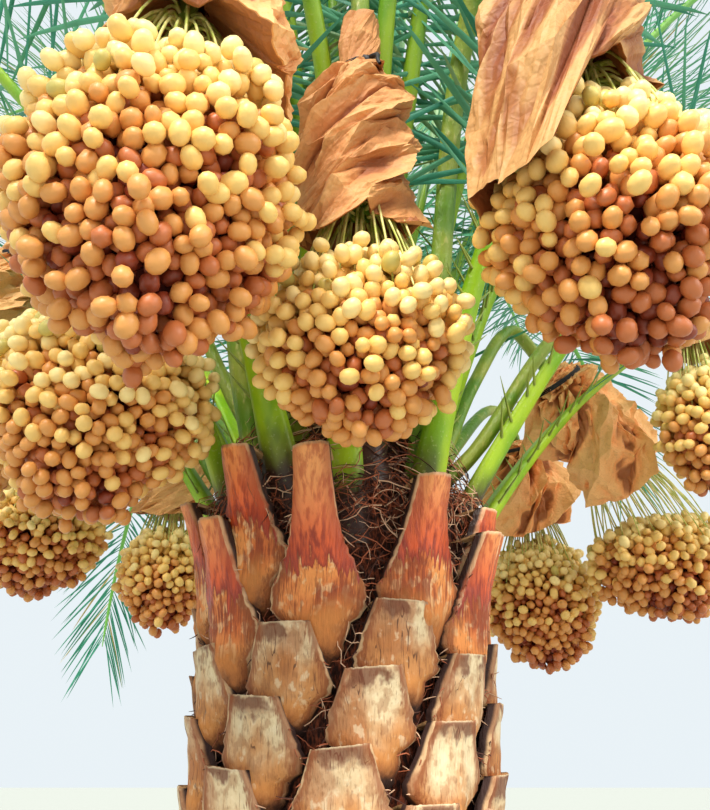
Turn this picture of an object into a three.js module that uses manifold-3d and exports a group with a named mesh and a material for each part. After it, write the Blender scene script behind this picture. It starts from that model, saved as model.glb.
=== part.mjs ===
// A date palm in fruit. One column of old leaf bases carries a crown of arching fronds and a ring of
// heavy date bunches, each on its own stalk with a crumpled paper wrap pushed up and tied round it.
// Millimetres, +Z up. The origin is the middle of the flat cut at ground level.
import * as THREE from "three";
import { ConvexGeometry } from "three/addons/geometries/ConvexGeometry.js";
import { mergeVertices } from "three/addons/utils/BufferGeometryUtils.js";
import Module from "manifold-3d";

const wasm = await Module();
wasm.setup();

// Driving dimensions
const TRUNK_HEIGHT = 1880; // ground to the top of the woody column
const COLUMN_RADIUS = 244; // between the leaf bases
const FLARE_RADIUS = 80; // added at the ground
const FLARE_HEIGHT = 150; // in which the flare dies away
const HEART_TOP = 2500; // tip of the bundle of young leaf bases
const HEART_TOP_RADIUS = 42;
const CLEAR = 0.3; // gap between pieces that touch

// The leaves follow one spiral from the ground to the heart
const LEAF_TURN = -107; // degrees from one leaf to the next
const LEAF_RISE = 10.75;
const FIRST_LEAF_TURN = 110.8;
const FIRST_LEAF_HEIGHT = 47;
const FIRST_LONG_STUB = 146; // cut last, so still long
const FIRST_FROND = 158;
const FROND_COUNT = 28;
const SPEAR_COUNT = 6; // young upright fronds, fused with the heart

const rad = THREE.MathUtils.degToRad;
const lerp = THREE.MathUtils.lerp;
const clamp = THREE.MathUtils.clamp;
const vec = (x, y, z) => new THREE.Vector3(x, y, z);

// A point at a distance from the trunk's axis, in the direction of an azimuth counted from +X
const polar = (azimuth, radius, z) =>
  vec(radius * Math.cos(rad(azimuth)), radius * Math.sin(rad(azimuth)), z);

const azimuthOf = (x, y) => THREE.MathUtils.radToDeg(Math.atan2(y, x));

// The smaller turn from one azimuth to another
const turnBetween = (from, to) => ((((to - from) % 360) + 540) % 360) - 180;

// The same value each run for each pair of numbers, between -1 and 1
function chance(a, b) {
  const wave = Math.sin(a * 127.1 + b * 311.7) * 43758.5453;
  return 2 * (wave - Math.floor(wave)) - 1;
}

const count = (length, make) => Array.from({ length }, (_, i) => make(i));
const joined = (solids) => wasm.Manifold.union(solids);

function solidOf(geometry) {
  const plain = geometry.clone();
  plain.deleteAttribute("normal");
  plain.deleteAttribute("uv");
  const merged = mergeVertices(plain, 1e-3);
  const mesh = new wasm.Mesh({
    numProp: 3,
    vertProperties: merged.attributes.position.array,
    triVerts: new Uint32Array(merged.index.array),
  });
  return new wasm.Manifold(mesh);
}

function solidFrom(points, triangles) {
  const mesh = new wasm.Mesh({
    numProp: 3,
    vertProperties: new Float32Array(points.flatMap((p) => p.toArray())),
    triVerts: new Uint32Array(triangles.flat()),
  });
  return new wasm.Manifold(mesh);
}

function geometryOf(solid) {
  const mesh = solid.getMesh();
  const geometry = new THREE.BufferGeometry();
  geometry.setAttribute("position", new THREE.BufferAttribute(mesh.vertProperties, 3));
  geometry.setIndex(new THREE.BufferAttribute(mesh.triVerts, 1));
  geometry.computeVertexNormals();
  return geometry;
}

// The largest piece of a solid that a cut may have left in several
const largest = (solid) => solid.decompose().sort((a, b) => b.volume() - a.volume())[0];

// A closed skin over rings of equal count. Seen from the last ring, each turns counter-clockwise.
// A tip, where one is given for a side of a step, draws that side out to a point.
function loft(rings, tips = () => null) {
  const sides = rings[0].length;
  const points = rings.flat();
  const triangles = [];
  const last = (rings.length - 1) * sides;
  for (let r = 0; r + 1 < rings.length; r++) {
    for (let i = 0; i < sides; i++) {
      const a = r * sides + i;
      const b = r * sides + ((i + 1) % sides);
      const [c, d] = [b + sides, a + sides];
      const tip = tips(r, i);
      if (tip) {
        const t = points.push(tip) - 1;
        triangles.push([a, b, t], [b, c, t], [c, d, t], [d, a, t]);
      } else {
        triangles.push([a, b, c], [a, c, d]);
      }
    }
  }
  for (let i = 1; i + 1 < sides; i++) {
    triangles.push([0, i + 1, i], [last, last + i, last + i + 1]);
  }
  return solidFrom(points, triangles);
}

// The stem: a column, and the heart that it carries
const columnRadius = (z) => COLUMN_RADIUS + FLARE_RADIUS * Math.exp(-Math.max(z, 0) / FLARE_HEIGHT);

function heartRadius(z) {
  const rise = clamp((z - TRUNK_HEIGHT) / (HEART_TOP - TRUNK_HEIGHT), 0, 1);
  return lerp(COLUMN_RADIUS - 20, HEART_TOP_RADIUS, rise ** 0.85);
}

const stemRadius = (z) => (z < TRUNK_HEIGHT ? columnRadius(z) : heartRadius(z));

const turned = (heights, radiusAt, sides = 12) =>
  loft(heights.map((z) => count(sides, (i) => polar((360 * i) / sides, radiusAt(z), z))));

// Where leaf number n leaves the stem
function leafSeat(n) {
  const z = FIRST_LEAF_HEIGHT + n * LEAF_RISE;
  return { azimuth: FIRST_LEAF_TURN + n * LEAF_TURN, z, radius: stemRadius(z) };
}

// What is left of a cut leaf: a keeled wedge with a straight cut on top that stands off the trunk.
// Each corner is [across, up, out] from the leaf's seat. The first two rows are the cut.
const BOOT = [
  [50, 78, 44],
  [46, 66, -46],
  [74, 0, 24],
  [0, -86, 2],
];
const LONG_STUB = [
  [31, 240, 106],
  [28, 226, 50],
  [80, 16, 30],
  [0, -60, -56],
  [0, -105, 8],
];
const CUT_ROWS = 2;
const LONG_CUTS = [0.75, 0.8, 0.9, 0.8, 1, 0.85, 0.8, 0.8, 0.78, 0.9, 0.55, 0.8]; // share left of each
const WORN_BOOTS = 6; // the lowest, flattened by wear

function leafBase(n, corners) {
  const seat = leafSeat(n);
  const side = polar(seat.azimuth + 90, 1, 0);
  const wear = clamp((n + 2) / WORN_BOOTS, 0.25, 1);
  const skew = 5 * chance(n, 1);
  const left = LONG_CUTS[n - FIRST_LONG_STUB] ?? 1;
  const points = corners.flatMap(([across, up, out], row) =>
    (across ? [-1, 1] : [0]).map((hand) => {
      const [rise, stand] = row < CUT_ROWS ? [left, lerp(0.3, 1, left)] : [1, 1];
      const height = seat.z + up * rise * (1 + 0.05 * chance(n, 2)) + hand * skew;
      const reach = seat.radius + (out > 0 ? out * stand * wear : out);
      return polar(seat.azimuth, reach, height).addScaledVector(side, hand * across);
    }),
  );
  return solidOf(new ConvexGeometry(points));
}

const columnHeights = [0, 60, 140, 280, TRUNK_HEIGHT];
const longStubs = count(FIRST_FROND - FIRST_LONG_STUB, (i) => FIRST_LONG_STUB + i);

function makeTrunk() {
  const ground = solidOf(new THREE.BoxGeometry(2000, 2000, 4000).translate(0, 0, 2000));
  return joined([
    turned(columnHeights, columnRadius),
    ...count(FIRST_LONG_STUB, (n) => leafBase(n, BOOT)),
    ...longStubs.map((n) => leafBase(n, LONG_STUB)),
  ]).intersect(ground);
}

// A convex solid swollen about its middle
function swollen(solid, share) {
  const { min, max } = solid.boundingBox();
  const middle = min.map((low, k) => (low + max[k]) / 2);
  return solid.translate(middle.map((m) => -m)).scale(1 + share).translate(middle);
}

// The space that the stem takes up, with the clearance that its neighbours keep
function makeStemRoom() {
  const grown = (radiusAt) => (z) => radiusAt(z) + 2 * CLEAR;
  const top = TRUNK_HEIGHT + CLEAR;
  return joined([
    turned([...columnHeights.slice(0, -1), top], grown(columnRadius)),
    turned(heartHeights, grown(heartRadius)),
    ...longStubs.map((n) => swollen(leafBase(n, LONG_STUB), 0.02)),
  ]);
}

const heartHeights = count(4, (i) => lerp(TRUNK_HEIGHT + CLEAR, HEART_TOP, i / 3));

// The fruit. Each row is a bunch: the leaf whose axil it springs from, its middle, and its half sizes
// across, deep and high. Its stalk climbs early (1) or late (0) and hangs down a straight drop, whose
// top leans in towards the trunk. Bare strands, where a row gives them, have a height and a lean too.
// A paper wrap has a length, a greatest radius, a flap that hangs down on the left, or where negative
// on the right, and a waist where it is tied: its place along the length, and its share of the radius.
const BUNCHES = {
  front_left: { leaf: 167, at: [-240, -720, 2095], half: [205, 185, 250], climb: 1, drop: [480, 60] },
  low_left: { leaf: 164, at: [-430, -305, 1985], half: [215, 195, 215], climb: 1, drop: [400, 40] },
  front: { leaf: 170, at: [30, -490, 2010], half: [178, 148, 178], climb: 1, drop: [570, 0] },
  front_right: { leaf: 163, at: [375, -660, 2100], half: [190, 180, 212], climb: 1, drop: [500, 40] },
  right: { leaf: 166, at: [840, 70, 2100], half: [140, 140, 180], climb: 0, drop: [150, 30] },
  back_right_out: {
    leaf: 169,
    at: [857, 500, 1883],
    half: [225, 180, 150],
    climb: 0.2,
    drop: [270, 400],
    strands: [110, 160],
  },
  back_right_in: { leaf: 162, at: [573, 760, 1831], half: [184, 170, 200], climb: 0.2, drop: [240, 90] },
  back: { leaf: 165, at: [30, 880, 1900], half: [180, 180, 195], climb: 0.6, drop: [330, 90] },
  back_left_in: { leaf: 168, at: [-540, 720, 1895], half: [152, 152, 165], climb: 0.6, drop: [300, 90] },
  back_left_out: { leaf: 161, at: [-875, 545, 1965], half: [215, 195, 155], climb: 0.4, drop: [300, 110] },
  left: { leaf: 171, at: [-865, 60, 2075], half: [168, 168, 198], climb: 0.6, drop: [320, 60] },
};
const WRAPS = {
  front_left: [430, 135, -60, 0.14, 0.34],
  low_left: [330, 100, 0, 0.14, 0.34],
  front: [500, 108, 20, 0.27, 0.4],
  front_right: [470, 150, 130, 0.14, 0.34],
  right: [150, 80, 0, 0.14, 0.34],
  back_right_out: [340, 150, 0, 0.08, 0.5],
  back_right_in: [270, 145, 0, 0.08, 0.5],
  back: [300, 110, 0, 0.14, 0.34],
  back_left_in: [290, 105, 0, 0.14, 0.34],
  back_left_out: [300, 110, 0, 0.14, 0.34],
  left: [300, 105, 0, 0.14, 0.34],
};
const STALK_WIDTH = [54, 36]; // at the stem and at the strands
const STALK_THICKNESS = [34, 28];
const STALK_SIDES = 5;
const ARCH_STEPS = 6;
const AXIL = 78; // a stalk's height above its leaf's seat
const STRAND_GAP = 60; // between the top of the fruit and the end of most stalks
const STRAND_RIDGES = 4;
const FRUIT_SITES = 30;
const KNOB_DEPTH = 30; // each knob stands for a handful of dates

// A ring round a point, wide along side and thick along lift
function ringAt(point, tangent, side, width, thickness, sides, waver = () => 1) {
  const lift = vec(0, 0, 0).crossVectors(side, tangent).normalize();
  return count(sides, (i) => {
    const angle = (2 * Math.PI * (i + 0.5)) / sides;
    const across = (-Math.cos(angle) * width * waver(i)) / 2;
    const along = (Math.sin(angle) * thickness * waver(i)) / 2;
    return point.clone().addScaledVector(side, across).addScaledVector(lift, along);
  });
}

// Out of its axil, up the heart, over an arch and down into the fruit
function stalkPath({ leaf, at, half, climb, drop, strands }) {
  const seat = leafSeat(leaf);
  const azimuth = azimuthOf(at[0], at[1]);
  const swing = turnBetween(seat.azimuth, azimuth);
  const reach = Math.hypot(at[0], at[1]);
  const [fall, lean] = drop;
  const rootHeight = seat.z + AXIL;
  const [gap, inset] = strands ?? [STRAND_GAP, 0.1 * lean];
  const footHeight = at[2] + half[2] + gap;
  const shoulderHeight = footHeight + fall;
  const start = stemRadius(rootHeight);
  const on = (share, rise) =>
    polar(
      seat.azimuth + swing * Math.min(1, share * 1.5),
      lerp(start, reach - lean, share),
      lerp(rootHeight, shoulderHeight, rise),
    );
  const shoulder = polar(azimuth, reach - lean, shoulderHeight);
  const foot = polar(azimuth, reach - inset, footHeight);
  const crest = on(0.8, 1).add(vec(0, 0, Math.min(90, 0.2 * fall)));
  const arch = new THREE.CatmullRomCurve3(
    [
      polar(seat.azimuth, start - 40, rootHeight),
      on(0.1, lerp(0.16, 0.35, climb)),
      on(0.4, lerp(0.62, 0.88, climb)),
      crest,
      shoulder,
    ],
    false,
    "centripetal",
  );
  const down = foot.clone().sub(shoulder).normalize();
  return { arch, side: polar(azimuth - 90, 1, 0), shoulder, foot, down };
}

function stalkSolid({ arch, side, foot, down }, grow) {
  const sizeAt = (sizes, t) => lerp(sizes[0], sizes[1], t) + 2 * grow;
  const ring = (point, tangent, t) =>
    ringAt(point, tangent, side, sizeAt(STALK_WIDTH, t), sizeAt(STALK_THICKNESS, t), STALK_SIDES);
  const rings = count(ARCH_STEPS + 1, (i) => {
    const t = i / ARCH_STEPS;
    return ring(arch.getPoint(t), i < ARCH_STEPS ? arch.getTangent(t) : down, t);
  });
  return loft([...rings, ring(foot.clone().addScaledVector(down, grow), down, 1)]);
}

// Directions spread evenly over a sphere, from the top down
function evenDirection(i, total) {
  const z = 1 - (2 * (i + 0.5)) / total;
  const ring = Math.sqrt(1 - z * z);
  const turn = i * Math.PI * (3 - Math.sqrt(5));
  return vec(ring * Math.cos(turn), ring * Math.sin(turn), z);
}

// A mass of fruit: each face of an even hull swells into a knob
function fruitMass({ at, half }, order) {
  const outer = vec(...half);
  const inner = outer.clone().subScalar(KNOB_DEPTH);
  const sites = count(FRUIT_SITES, (i) => {
    const loose = vec(chance(i, order), chance(i, order + 20), 0).multiplyScalar(0.1);
    return evenDirection(i, FRUIT_SITES).add(loose).normalize().multiply(inner);
  });
  const hull = new ConvexGeometry(sites).attributes.position;
  const corners = [];
  for (let f = 0; f < hull.count; f += 3) {
    const base = [0, 1, 2].map((k) => vec(0, 0, 0).fromBufferAttribute(hull, f + k));
    const centre = base[0].clone().add(base[1]).add(base[2]).divideScalar(3);
    const tip = centre.divide(inner).normalize().multiply(outer).multiplyScalar(1 + 0.03 * chance(f, order));
    for (let k = 0; k < 3; k++) corners.push(base[k], base[(k + 1) % 3], tip);
  }
  return solidOf(new THREE.BufferGeometry().setFromPoints(corners)).translate(at);
}

// The strands leave the stalk's end as one ridged cone and sink into the shoulder of the fruit
function strandCone({ at, half }, { side, foot, down }) {
  const ridge = (i) => (i % 2 ? 1 : 0.62);
  const spread = vec(at[0], at[1], at[2] + half[2] * 0.45);
  return loft([
    ringAt(foot.clone().addScaledVector(down, -16), down, side, 18, 18, 2 * STRAND_RIDGES, ridge),
    ringAt(spread, vec(0, 0, -1), side, half[0] * 1.1, half[1] * 1.1, 2 * STRAND_RIDGES, ridge),
  ]);
}

// The paper wrap: tied in at the top, creased all round, and open at the bottom over the strands
const WRAP_SIDES = 8;
const WRAP_TOP = 0.5;
const BELOW_WAIST = [
  { at: 0.256, full: 0.74 },
  { at: 0.674, full: 1 },
  { at: 1, full: 0.92 },
];
const WRAP_MOUTH = [
  { at: 0.66, full: 0.3 },
  { at: 1.02, full: 0.78 },
];
const WRAP_TWIST = 26; // degrees from one ring to the next
const WRAP_HANG = 38; // of its lower edge below the end of the stalk

function wrapSolid([length, radius, flap, waist, tied], { at: middle, half }, path, order) {
  const { foot, down } = path;
  const bottom = foot.clone().addScaledVector(down, WRAP_HANG);
  const ringOf = ({ at, full }, sides, step, creases) => {
    const centre = bottom.clone().addScaledVector(down, -length * (1 - at));
    const across = 2 * radius * full;
    const spun = path.side.clone().applyAxisAngle(down, rad(step * WRAP_TWIST + 40 * order));
    const ring = ringAt(centre, down, spun, across, across, sides, creases);
    ring.forEach((p) => {
      const aside = Math.max(0, Math.sign(flap) * (centre.x - p.x)) / radius;
      p.z -= 1.4 * Math.abs(flap) * aside * at ** 3;
      p.x -= 0.35 * flap * aside * at ** 3;
    });
    return ring;
  };
  const below = BELOW_WAIST.map(({ at, full }) => ({ at: lerp(waist, 1, at), full }));
  const outside = [{ at: 0, full: WRAP_TOP }, { at: waist, full: tied }, ...below].map((row, r) =>
    ringOf(row, WRAP_SIDES, r, (i) => 1 + (0.05 + 0.14 * row.full) * chance(i + 8 * r, order + 40)),
  );
  const mouth = WRAP_MOUTH.map((row, r) => ringOf(row, 6, r, () => 1));
  mouth[1].forEach((p) => (p.z -= 2.2 * Math.abs(flap)));
  const fruitRoom = solidOf(new THREE.IcosahedronGeometry(1, 1))
    .scale(half.map((h) => 1.1 * h))
    .translate(middle);
  const whole = loft(outside);
  const cuts = [loft(mouth), stalkSolid(path, 1.3 * CLEAR)];
  if (!whole.intersect(fruitRoom).isEmpty()) cuts.push(fruitRoom);
  return largest(whole.subtract(joined(cuts)));
}

function makeFruit(stemRoom) {
  return Object.entries(BUNCHES).map(([name, bunch], order) => {
    const path = stalkPath(bunch);
    const whole = joined([stalkSolid(path, 0), strandCone(bunch, path), fruitMass(bunch, order)]);
    return {
      name,
      fruit: largest(whole.subtract(stemRoom)),
      wrap: wrapSolid(WRAPS[name], bunch, path, order),
      room: stalkSolid(path, 2 * CLEAR),
      root: path.arch.getPoint(0),
      tie: path.foot,
    };
  });
}

// The fronds
const LEAFLET_LENGTH = 500;
const LEAFLET_PAIRS = 15;
const LEAFLET_FORWARD = [68, 24]; // degrees between a leaflet and its rib, first and last
const LEAFLET_ROOM = 3;
const LEAFLET_RAISE = 26; // degrees above the rib's own plane, so that each frond is a shallow V
const BARE_SHARE = 0.19; // of a frond's length, before its first leaflets
const BARE_STEPS = 3;
const RIB_WIDTH = 40; // where the leaflets start
const RIB_TIP_WIDTH = 12;
const SPLIT_BEND = 105; // a frond that bends further than this is two pieces
const SPLIT_PAIR = 4;

// How leaf number n stands: the old ones lie low and droop, the young ones stand up straight
function frondShape(n) {
  const youth = (n - FIRST_FROND) / (FROND_COUNT + SPEAR_COUNT - 1);
  return {
    elevation: 53 + 31 * youth ** 0.8,
    bend: 26 + 104 * (1 - youth) ** 1.1,
    length: 3150 + 350 * Math.sin(Math.PI * youth) - 550 * youth,
    width: lerp(90, 44, youth),
  };
}

// The line of a rib from its seat. It turns down slowly at first and faster towards its tip.
const RIB_STEPS = 60;

function ribLine(n, lift, sway) {
  const seat = leafSeat(n);
  const shape = frondShape(n);
  const stride = shape.length / RIB_STEPS;
  const point = polar(seat.azimuth, seat.radius - 30, seat.z);
  return count(RIB_STEPS + 1, (i) => {
    const share = i / RIB_STEPS;
    const elevation = rad(shape.elevation + lift - (shape.bend + lift) * share ** 1.4);
    const azimuth = seat.azimuth + sway * Math.min(1, 2.2 * share);
    const tangent = polar(azimuth, Math.cos(elevation), Math.sin(elevation));
    const here = point.clone();
    point.addScaledVector(tangent, stride);
    return { point: here, tangent, side: polar(azimuth - 90, 1, 0) };
  });
}

function onLine(line, share) {
  const at = clamp(share, 0, 1) * RIB_STEPS;
  const i = Math.min(Math.floor(at), RIB_STEPS - 1);
  const mix = (key) => line[i][key].clone().lerp(line[i + 1][key], at - i);
  return { point: mix("point"), tangent: mix("tangent").normalize(), side: mix("side").normalize() };
}

function ribWidth(n, share) {
  const bare = Math.min(share / BARE_SHARE, 1);
  const along = clamp((share - BARE_SHARE) / (1 - BARE_SHARE), 0, 1);
  return share < BARE_SHARE
    ? lerp(frondShape(n).width, RIB_WIDTH, bare ** 0.7)
    : lerp(RIB_WIDTH, RIB_TIP_WIDTH, along);
}

// The rib's section is a triangle with its flat side up: left edge, right edge, keel
function ribRing(n, line, share, grow = 0) {
  const { point, tangent, side } = onLine(line, share);
  const lift = vec(0, 0, 0).crossVectors(side, tangent);
  const width = ribWidth(n, share) + 3.4 * grow;
  const depth = 0.62 * ribWidth(n, share) + 3 * grow;
  return [
    point.clone().addScaledVector(side, -width / 2).addScaledVector(lift, depth / 3),
    point.clone().addScaledVector(side, width / 2).addScaledVector(lift, depth / 3),
    point.clone().addScaledVector(lift, (-2 * depth) / 3),
  ];
}

const bareShares = count(BARE_STEPS, (i) => (BARE_SHARE * i) / BARE_STEPS);
const pairShare = (i) => lerp(BARE_SHARE, 1, (i / LEAFLET_PAIRS) ** 0.94);
const ribShares = [...bareShares, ...count(LEAFLET_PAIRS + 1, pairShare)];

const ribSolid = (n, line, grow = 0) => loft(ribShares.map((share) => ribRing(n, line, share, grow)));

// The tip of a leaflet. Hand is -1 on the left and 1 on the right.
function leafletTip(n, line, pair, hand, scale) {
  const share = (pairShare(pair) + pairShare(pair + 1)) / 2;
  const along = (pair + 0.5) / LEAFLET_PAIRS;
  const { point, tangent, side } = onLine(line, share);
  const lift = vec(0, 0, 0).crossVectors(side, tangent);
  const forward = rad(lerp(...LEAFLET_FORWARD, along ** 1.3) + 5 * chance(n + pair, hand));
  const raise = rad(LEAFLET_RAISE + 9 * chance(n, pair * hand + 0.5));
  const length = LEAFLET_LENGTH * scale * (0.45 + 0.75 * Math.sin(Math.PI * (0.12 + 0.8 * along)) ** 0.8);
  const droop = 0.1 * length;
  return point
    .addScaledVector(tangent, length * Math.cos(forward))
    .addScaledVector(side, hand * length * Math.sin(forward) * Math.cos(raise))
    .addScaledVector(lift, length * Math.sin(forward) * Math.sin(raise))
    .add(vec(0, 0, -droop));
}

function leafletRoots(n, line, pair, hand, grow) {
  const [from, to] = [pairShare(pair), pairShare(pair + 1)].map((s) => ribRing(n, line, s, grow));
  return hand > 0 ? [from[1], from[2], to[2], to[1]] : [from[2], from[0], to[0], to[2]];
}

// The room that a leaflet needs, a little fatter and longer than itself
function leafletRoom(n, line, pair, hand, scale) {
  const tip = leafletTip(n, line, pair, hand, scale);
  const roots = leafletRoots(n, line, pair, hand, LEAFLET_ROOM);
  const beyond = tip.clone().addScaledVector(tip.clone().sub(roots[0]).normalize(), 2 * LEAFLET_ROOM);
  const [a, b, c, d] = [0, 1, 2, 3];
  return solidFrom([...roots, beyond], [[a, b, 4], [b, c, 4], [c, d, 4], [d, a, 4], [a, c, b], [a, d, c]]);
}

const LEAFLET_SCALES = [1, 0.8, 0.6, 0.4, 0.22];
const NO_LEAFLET = 0;

function fitLeaflets(n, line, taken) {
  return count(LEAFLET_PAIRS, (pair) =>
    [-1, 1].map((hand) => {
      const fits = (scale) => leafletRoom(n, line, pair, hand, scale).intersect(taken).isEmpty();
      return LEAFLET_SCALES.find(fits) ?? NO_LEAFLET;
    }),
  );
}

// One stretch of a frond, between two of the rib's shares
function frondSolid(n, line, scales, from, to) {
  const shares = ribShares.filter((s) => s > from && s < to);
  const rings = [from, ...shares, to].map((share) => ribRing(n, line, share));
  const first = ribShares.findIndex((s) => s > from) - 1;
  const tips = (step, face) => {
    const pair = first + step - BARE_STEPS;
    const hand = face === 1 ? 1 : -1;
    if (face === 0 || pair < 0 || pair >= LEAFLET_PAIRS) return null;
    const scale = scales[pair][hand > 0 ? 1 : 0];
    return scale ? leafletTip(n, line, pair, hand, scale) : null;
  };
  return loft(rings, tips);
}

// Each rib takes the first lift and sway with which it clears the fruit and the ribs before it. Close
// to the heart, where real leaf bases press on each other, it is cut to fit instead.
const PRESSED_RADIUS = 330;
const RIB_ROOM = 6;
const LIFTS = count(13, (i) => 4 * i - 4);
const SWAYS = count(17, (i) => 5 * i - 40);
const STEEPEST = 87; // degrees

function fitRibs(fruits) {
  const pressed = turned([0, HEART_TOP + 900], () => PRESSED_RADIUS);
  const taken = fruits.flatMap(({ fruit, wrap }) => [fruit, wrap]);
  return count(FROND_COUNT, (i) => {
    const n = FIRST_FROND + i;
    const blocked = joined(taken).subtract(pressed);
    const choices = LIFTS.flatMap((lift) => SWAYS.map((sway) => ({ lift, sway })));
    choices.sort((a, b) => a.lift ** 2 + a.sway ** 2 - b.lift ** 2 - b.sway ** 2);
    const steepest = STEEPEST - frondShape(n).elevation;
    const fits = ({ lift, sway }) =>
      lift <= steepest && ribSolid(n, ribLine(n, lift, sway), RIB_ROOM).intersect(blocked).isEmpty();
    const choice = choices.find(fits);
    if (!choice) throw new Error("no room for leaf " + n);
    const line = ribLine(n, choice.lift, choice.sway);
    taken.push(ribSolid(n, line, RIB_ROOM));
    return { n, line, ...choice };
  });
}

function makeFronds(stemRoom, fruits) {
  const ribs = fitRibs(fruits);
  const ribRooms = ribs.map(({ n, line }) => ribSolid(n, line, 2 * CLEAR));
  const fruitRoom = joined(fruits.flatMap(({ fruit, wrap }) => [fruit, wrap]));
  const stalkRoom = joined(fruits.map(({ room }) => room));
  const leaves = [];
  const pieces = [];
  ribs.forEach(({ n, line }, i) => {
    const others = ribRooms.filter((_, k) => k !== i);
    const taken = joined([stemRoom, fruitRoom, ...others, ...leaves]);
    const scales = fitLeaflets(n, line, taken);
    const cut = joined([stemRoom, stalkRoom, ...ribRooms.slice(0, i)]);
    const number = String(i + 1).padStart(2, "0");
    const whole = frondSolid(n, line, scales, 0, 1);
    const foot = line[0].point;
    leaves.push(whole);
    if (frondShape(n).bend > SPLIT_BEND) {
      const joint = pairShare(SPLIT_PAIR);
      const gap = CLEAR / frondShape(n).length;
      const inner = frondSolid(n, line, scales, 0, joint - gap).subtract(cut);
      const outer = frondSolid(n, line, scales, joint, 1);
      pieces.push({ name: `frond_${number}_inner`, solid: largest(inner), foot });
      pieces.push({ name: `frond_${number}_outer`, solid: outer, foot: onLine(line, joint).point });
    } else {
      pieces.push({ name: `frond_${number}`, solid: largest(whole.subtract(cut)), foot });
    }
  });
  return pieces;
}

// The heart: the tightly wrapped bases of the youngest leaves, with folded young fronds rising from it
const SPEAR_STATIONS = [0, 0.3, 0.62, 1];
const SPEAR_WIDTHS = [52, 64, 84, 14];

function makeHeart() {
  const spears = count(SPEAR_COUNT, (i) => {
    const n = FIRST_FROND + FROND_COUNT + i;
    const azimuth = FIRST_LEAF_TURN + n * LEAF_TURN;
    const length = lerp(2350, 1500, i / (SPEAR_COUNT - 1));
    const lean = lerp(13, 4, i / (SPEAR_COUNT - 1));
    const tangent = polar(azimuth, Math.sin(rad(lean)), Math.cos(rad(lean)));
    const root = polar(azimuth, 46 - 6 * i, HEART_TOP - 420);
    const side = polar(azimuth - 90, 1, 0);
    return loft(
      SPEAR_STATIONS.map((share, s) => {
        const point = root.clone().addScaledVector(tangent, share * length);
        return ringAt(point, tangent, side, SPEAR_WIDTHS[s], 0.45 * SPEAR_WIDTHS[s], 4);
      }),
    );
  });
  return joined([turned(heartHeights, heartRadius), ...spears]);
}

// The palm. Each piece turns about the place where it is fixed: its own foot, root or tie.
const palm = new THREE.Group();
const stem = new THREE.Group();
const crown = new THREE.Group();
const fruiting = new THREE.Group();
crown.position.z = TRUNK_HEIGHT;
fruiting.position.z = TRUNK_HEIGHT;
palm.add(stem, crown, fruiting);

function add(group, name, solid, foot, color, roughness) {
  const material = new THREE.MeshStandardMaterial({ color, roughness, metalness: 0 });
  const mesh = new THREE.Mesh(geometryOf(solid), material);
  const place = foot.clone().round();
  mesh.name = name;
  mesh.geometry.translate(-place.x, -place.y, -place.z);
  mesh.position.copy(place).sub(group.position);
  group.add(mesh);
}

const stemRoom = makeStemRoom();
const fruits = makeFruit(stemRoom);
add(stem, "trunk", makeTrunk(), vec(0, 0, 0), 0xb07a4c, 0.85);
add(crown, "heart", makeHeart(), vec(0, 0, TRUNK_HEIGHT), 0x7d9a4a, 0.6);
for (const { name, solid, foot } of makeFronds(stemRoom, fruits)) {
  add(crown, name, solid, foot, 0x4f8a54, 0.55);
}
for (const { name, fruit, wrap, root, tie } of fruits) {
  add(fruiting, "bunch_" + name, fruit, root, 0xe2a850, 0.45);
  add(fruiting, "wrap_" + name, wrap, tie, 0xcb9555, 0.85);
}

export default palm;
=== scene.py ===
"""A date palm in fruit: bark, fibre, fronds, dates and paper wraps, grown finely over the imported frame."""
import math
from collections import namedtuple

import bpy
import numpy as np
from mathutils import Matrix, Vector


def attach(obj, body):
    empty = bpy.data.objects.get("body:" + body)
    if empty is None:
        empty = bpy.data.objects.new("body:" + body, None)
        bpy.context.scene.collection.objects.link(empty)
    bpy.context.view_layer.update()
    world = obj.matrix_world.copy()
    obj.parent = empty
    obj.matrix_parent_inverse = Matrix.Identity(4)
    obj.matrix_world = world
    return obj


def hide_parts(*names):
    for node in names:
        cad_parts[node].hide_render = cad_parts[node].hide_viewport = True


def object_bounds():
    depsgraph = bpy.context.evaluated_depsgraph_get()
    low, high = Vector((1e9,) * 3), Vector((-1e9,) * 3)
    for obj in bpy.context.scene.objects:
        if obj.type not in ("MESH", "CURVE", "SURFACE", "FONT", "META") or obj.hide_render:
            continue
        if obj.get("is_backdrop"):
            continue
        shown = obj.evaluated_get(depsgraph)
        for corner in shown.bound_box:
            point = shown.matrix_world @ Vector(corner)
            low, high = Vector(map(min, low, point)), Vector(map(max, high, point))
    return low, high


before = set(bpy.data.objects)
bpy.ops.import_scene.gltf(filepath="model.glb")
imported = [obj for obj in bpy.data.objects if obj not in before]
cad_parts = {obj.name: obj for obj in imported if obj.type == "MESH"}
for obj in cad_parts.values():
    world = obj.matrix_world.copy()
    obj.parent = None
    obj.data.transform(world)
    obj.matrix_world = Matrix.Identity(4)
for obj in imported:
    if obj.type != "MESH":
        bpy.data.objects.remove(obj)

cad_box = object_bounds()

# The camera stands at eye height, a pace and a half in front of the trunk, and looks up under the crown
# at the ring of fruit.
EYE = (0.02, -1.5, 1.45)
UPWARD_LOOK = 24.4
camera = bpy.data.objects.new("camera", bpy.data.cameras.new("camera"))
camera.data.lens = 33.33
camera.data.sensor_width = 36
camera.data.clip_start = 0.02
camera.location = EYE
camera.rotation_euler = (math.radians(90 + UPWARD_LOOK), 0, 0)
bpy.context.collection.objects.link(camera)
bpy.context.scene.camera = camera

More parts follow.
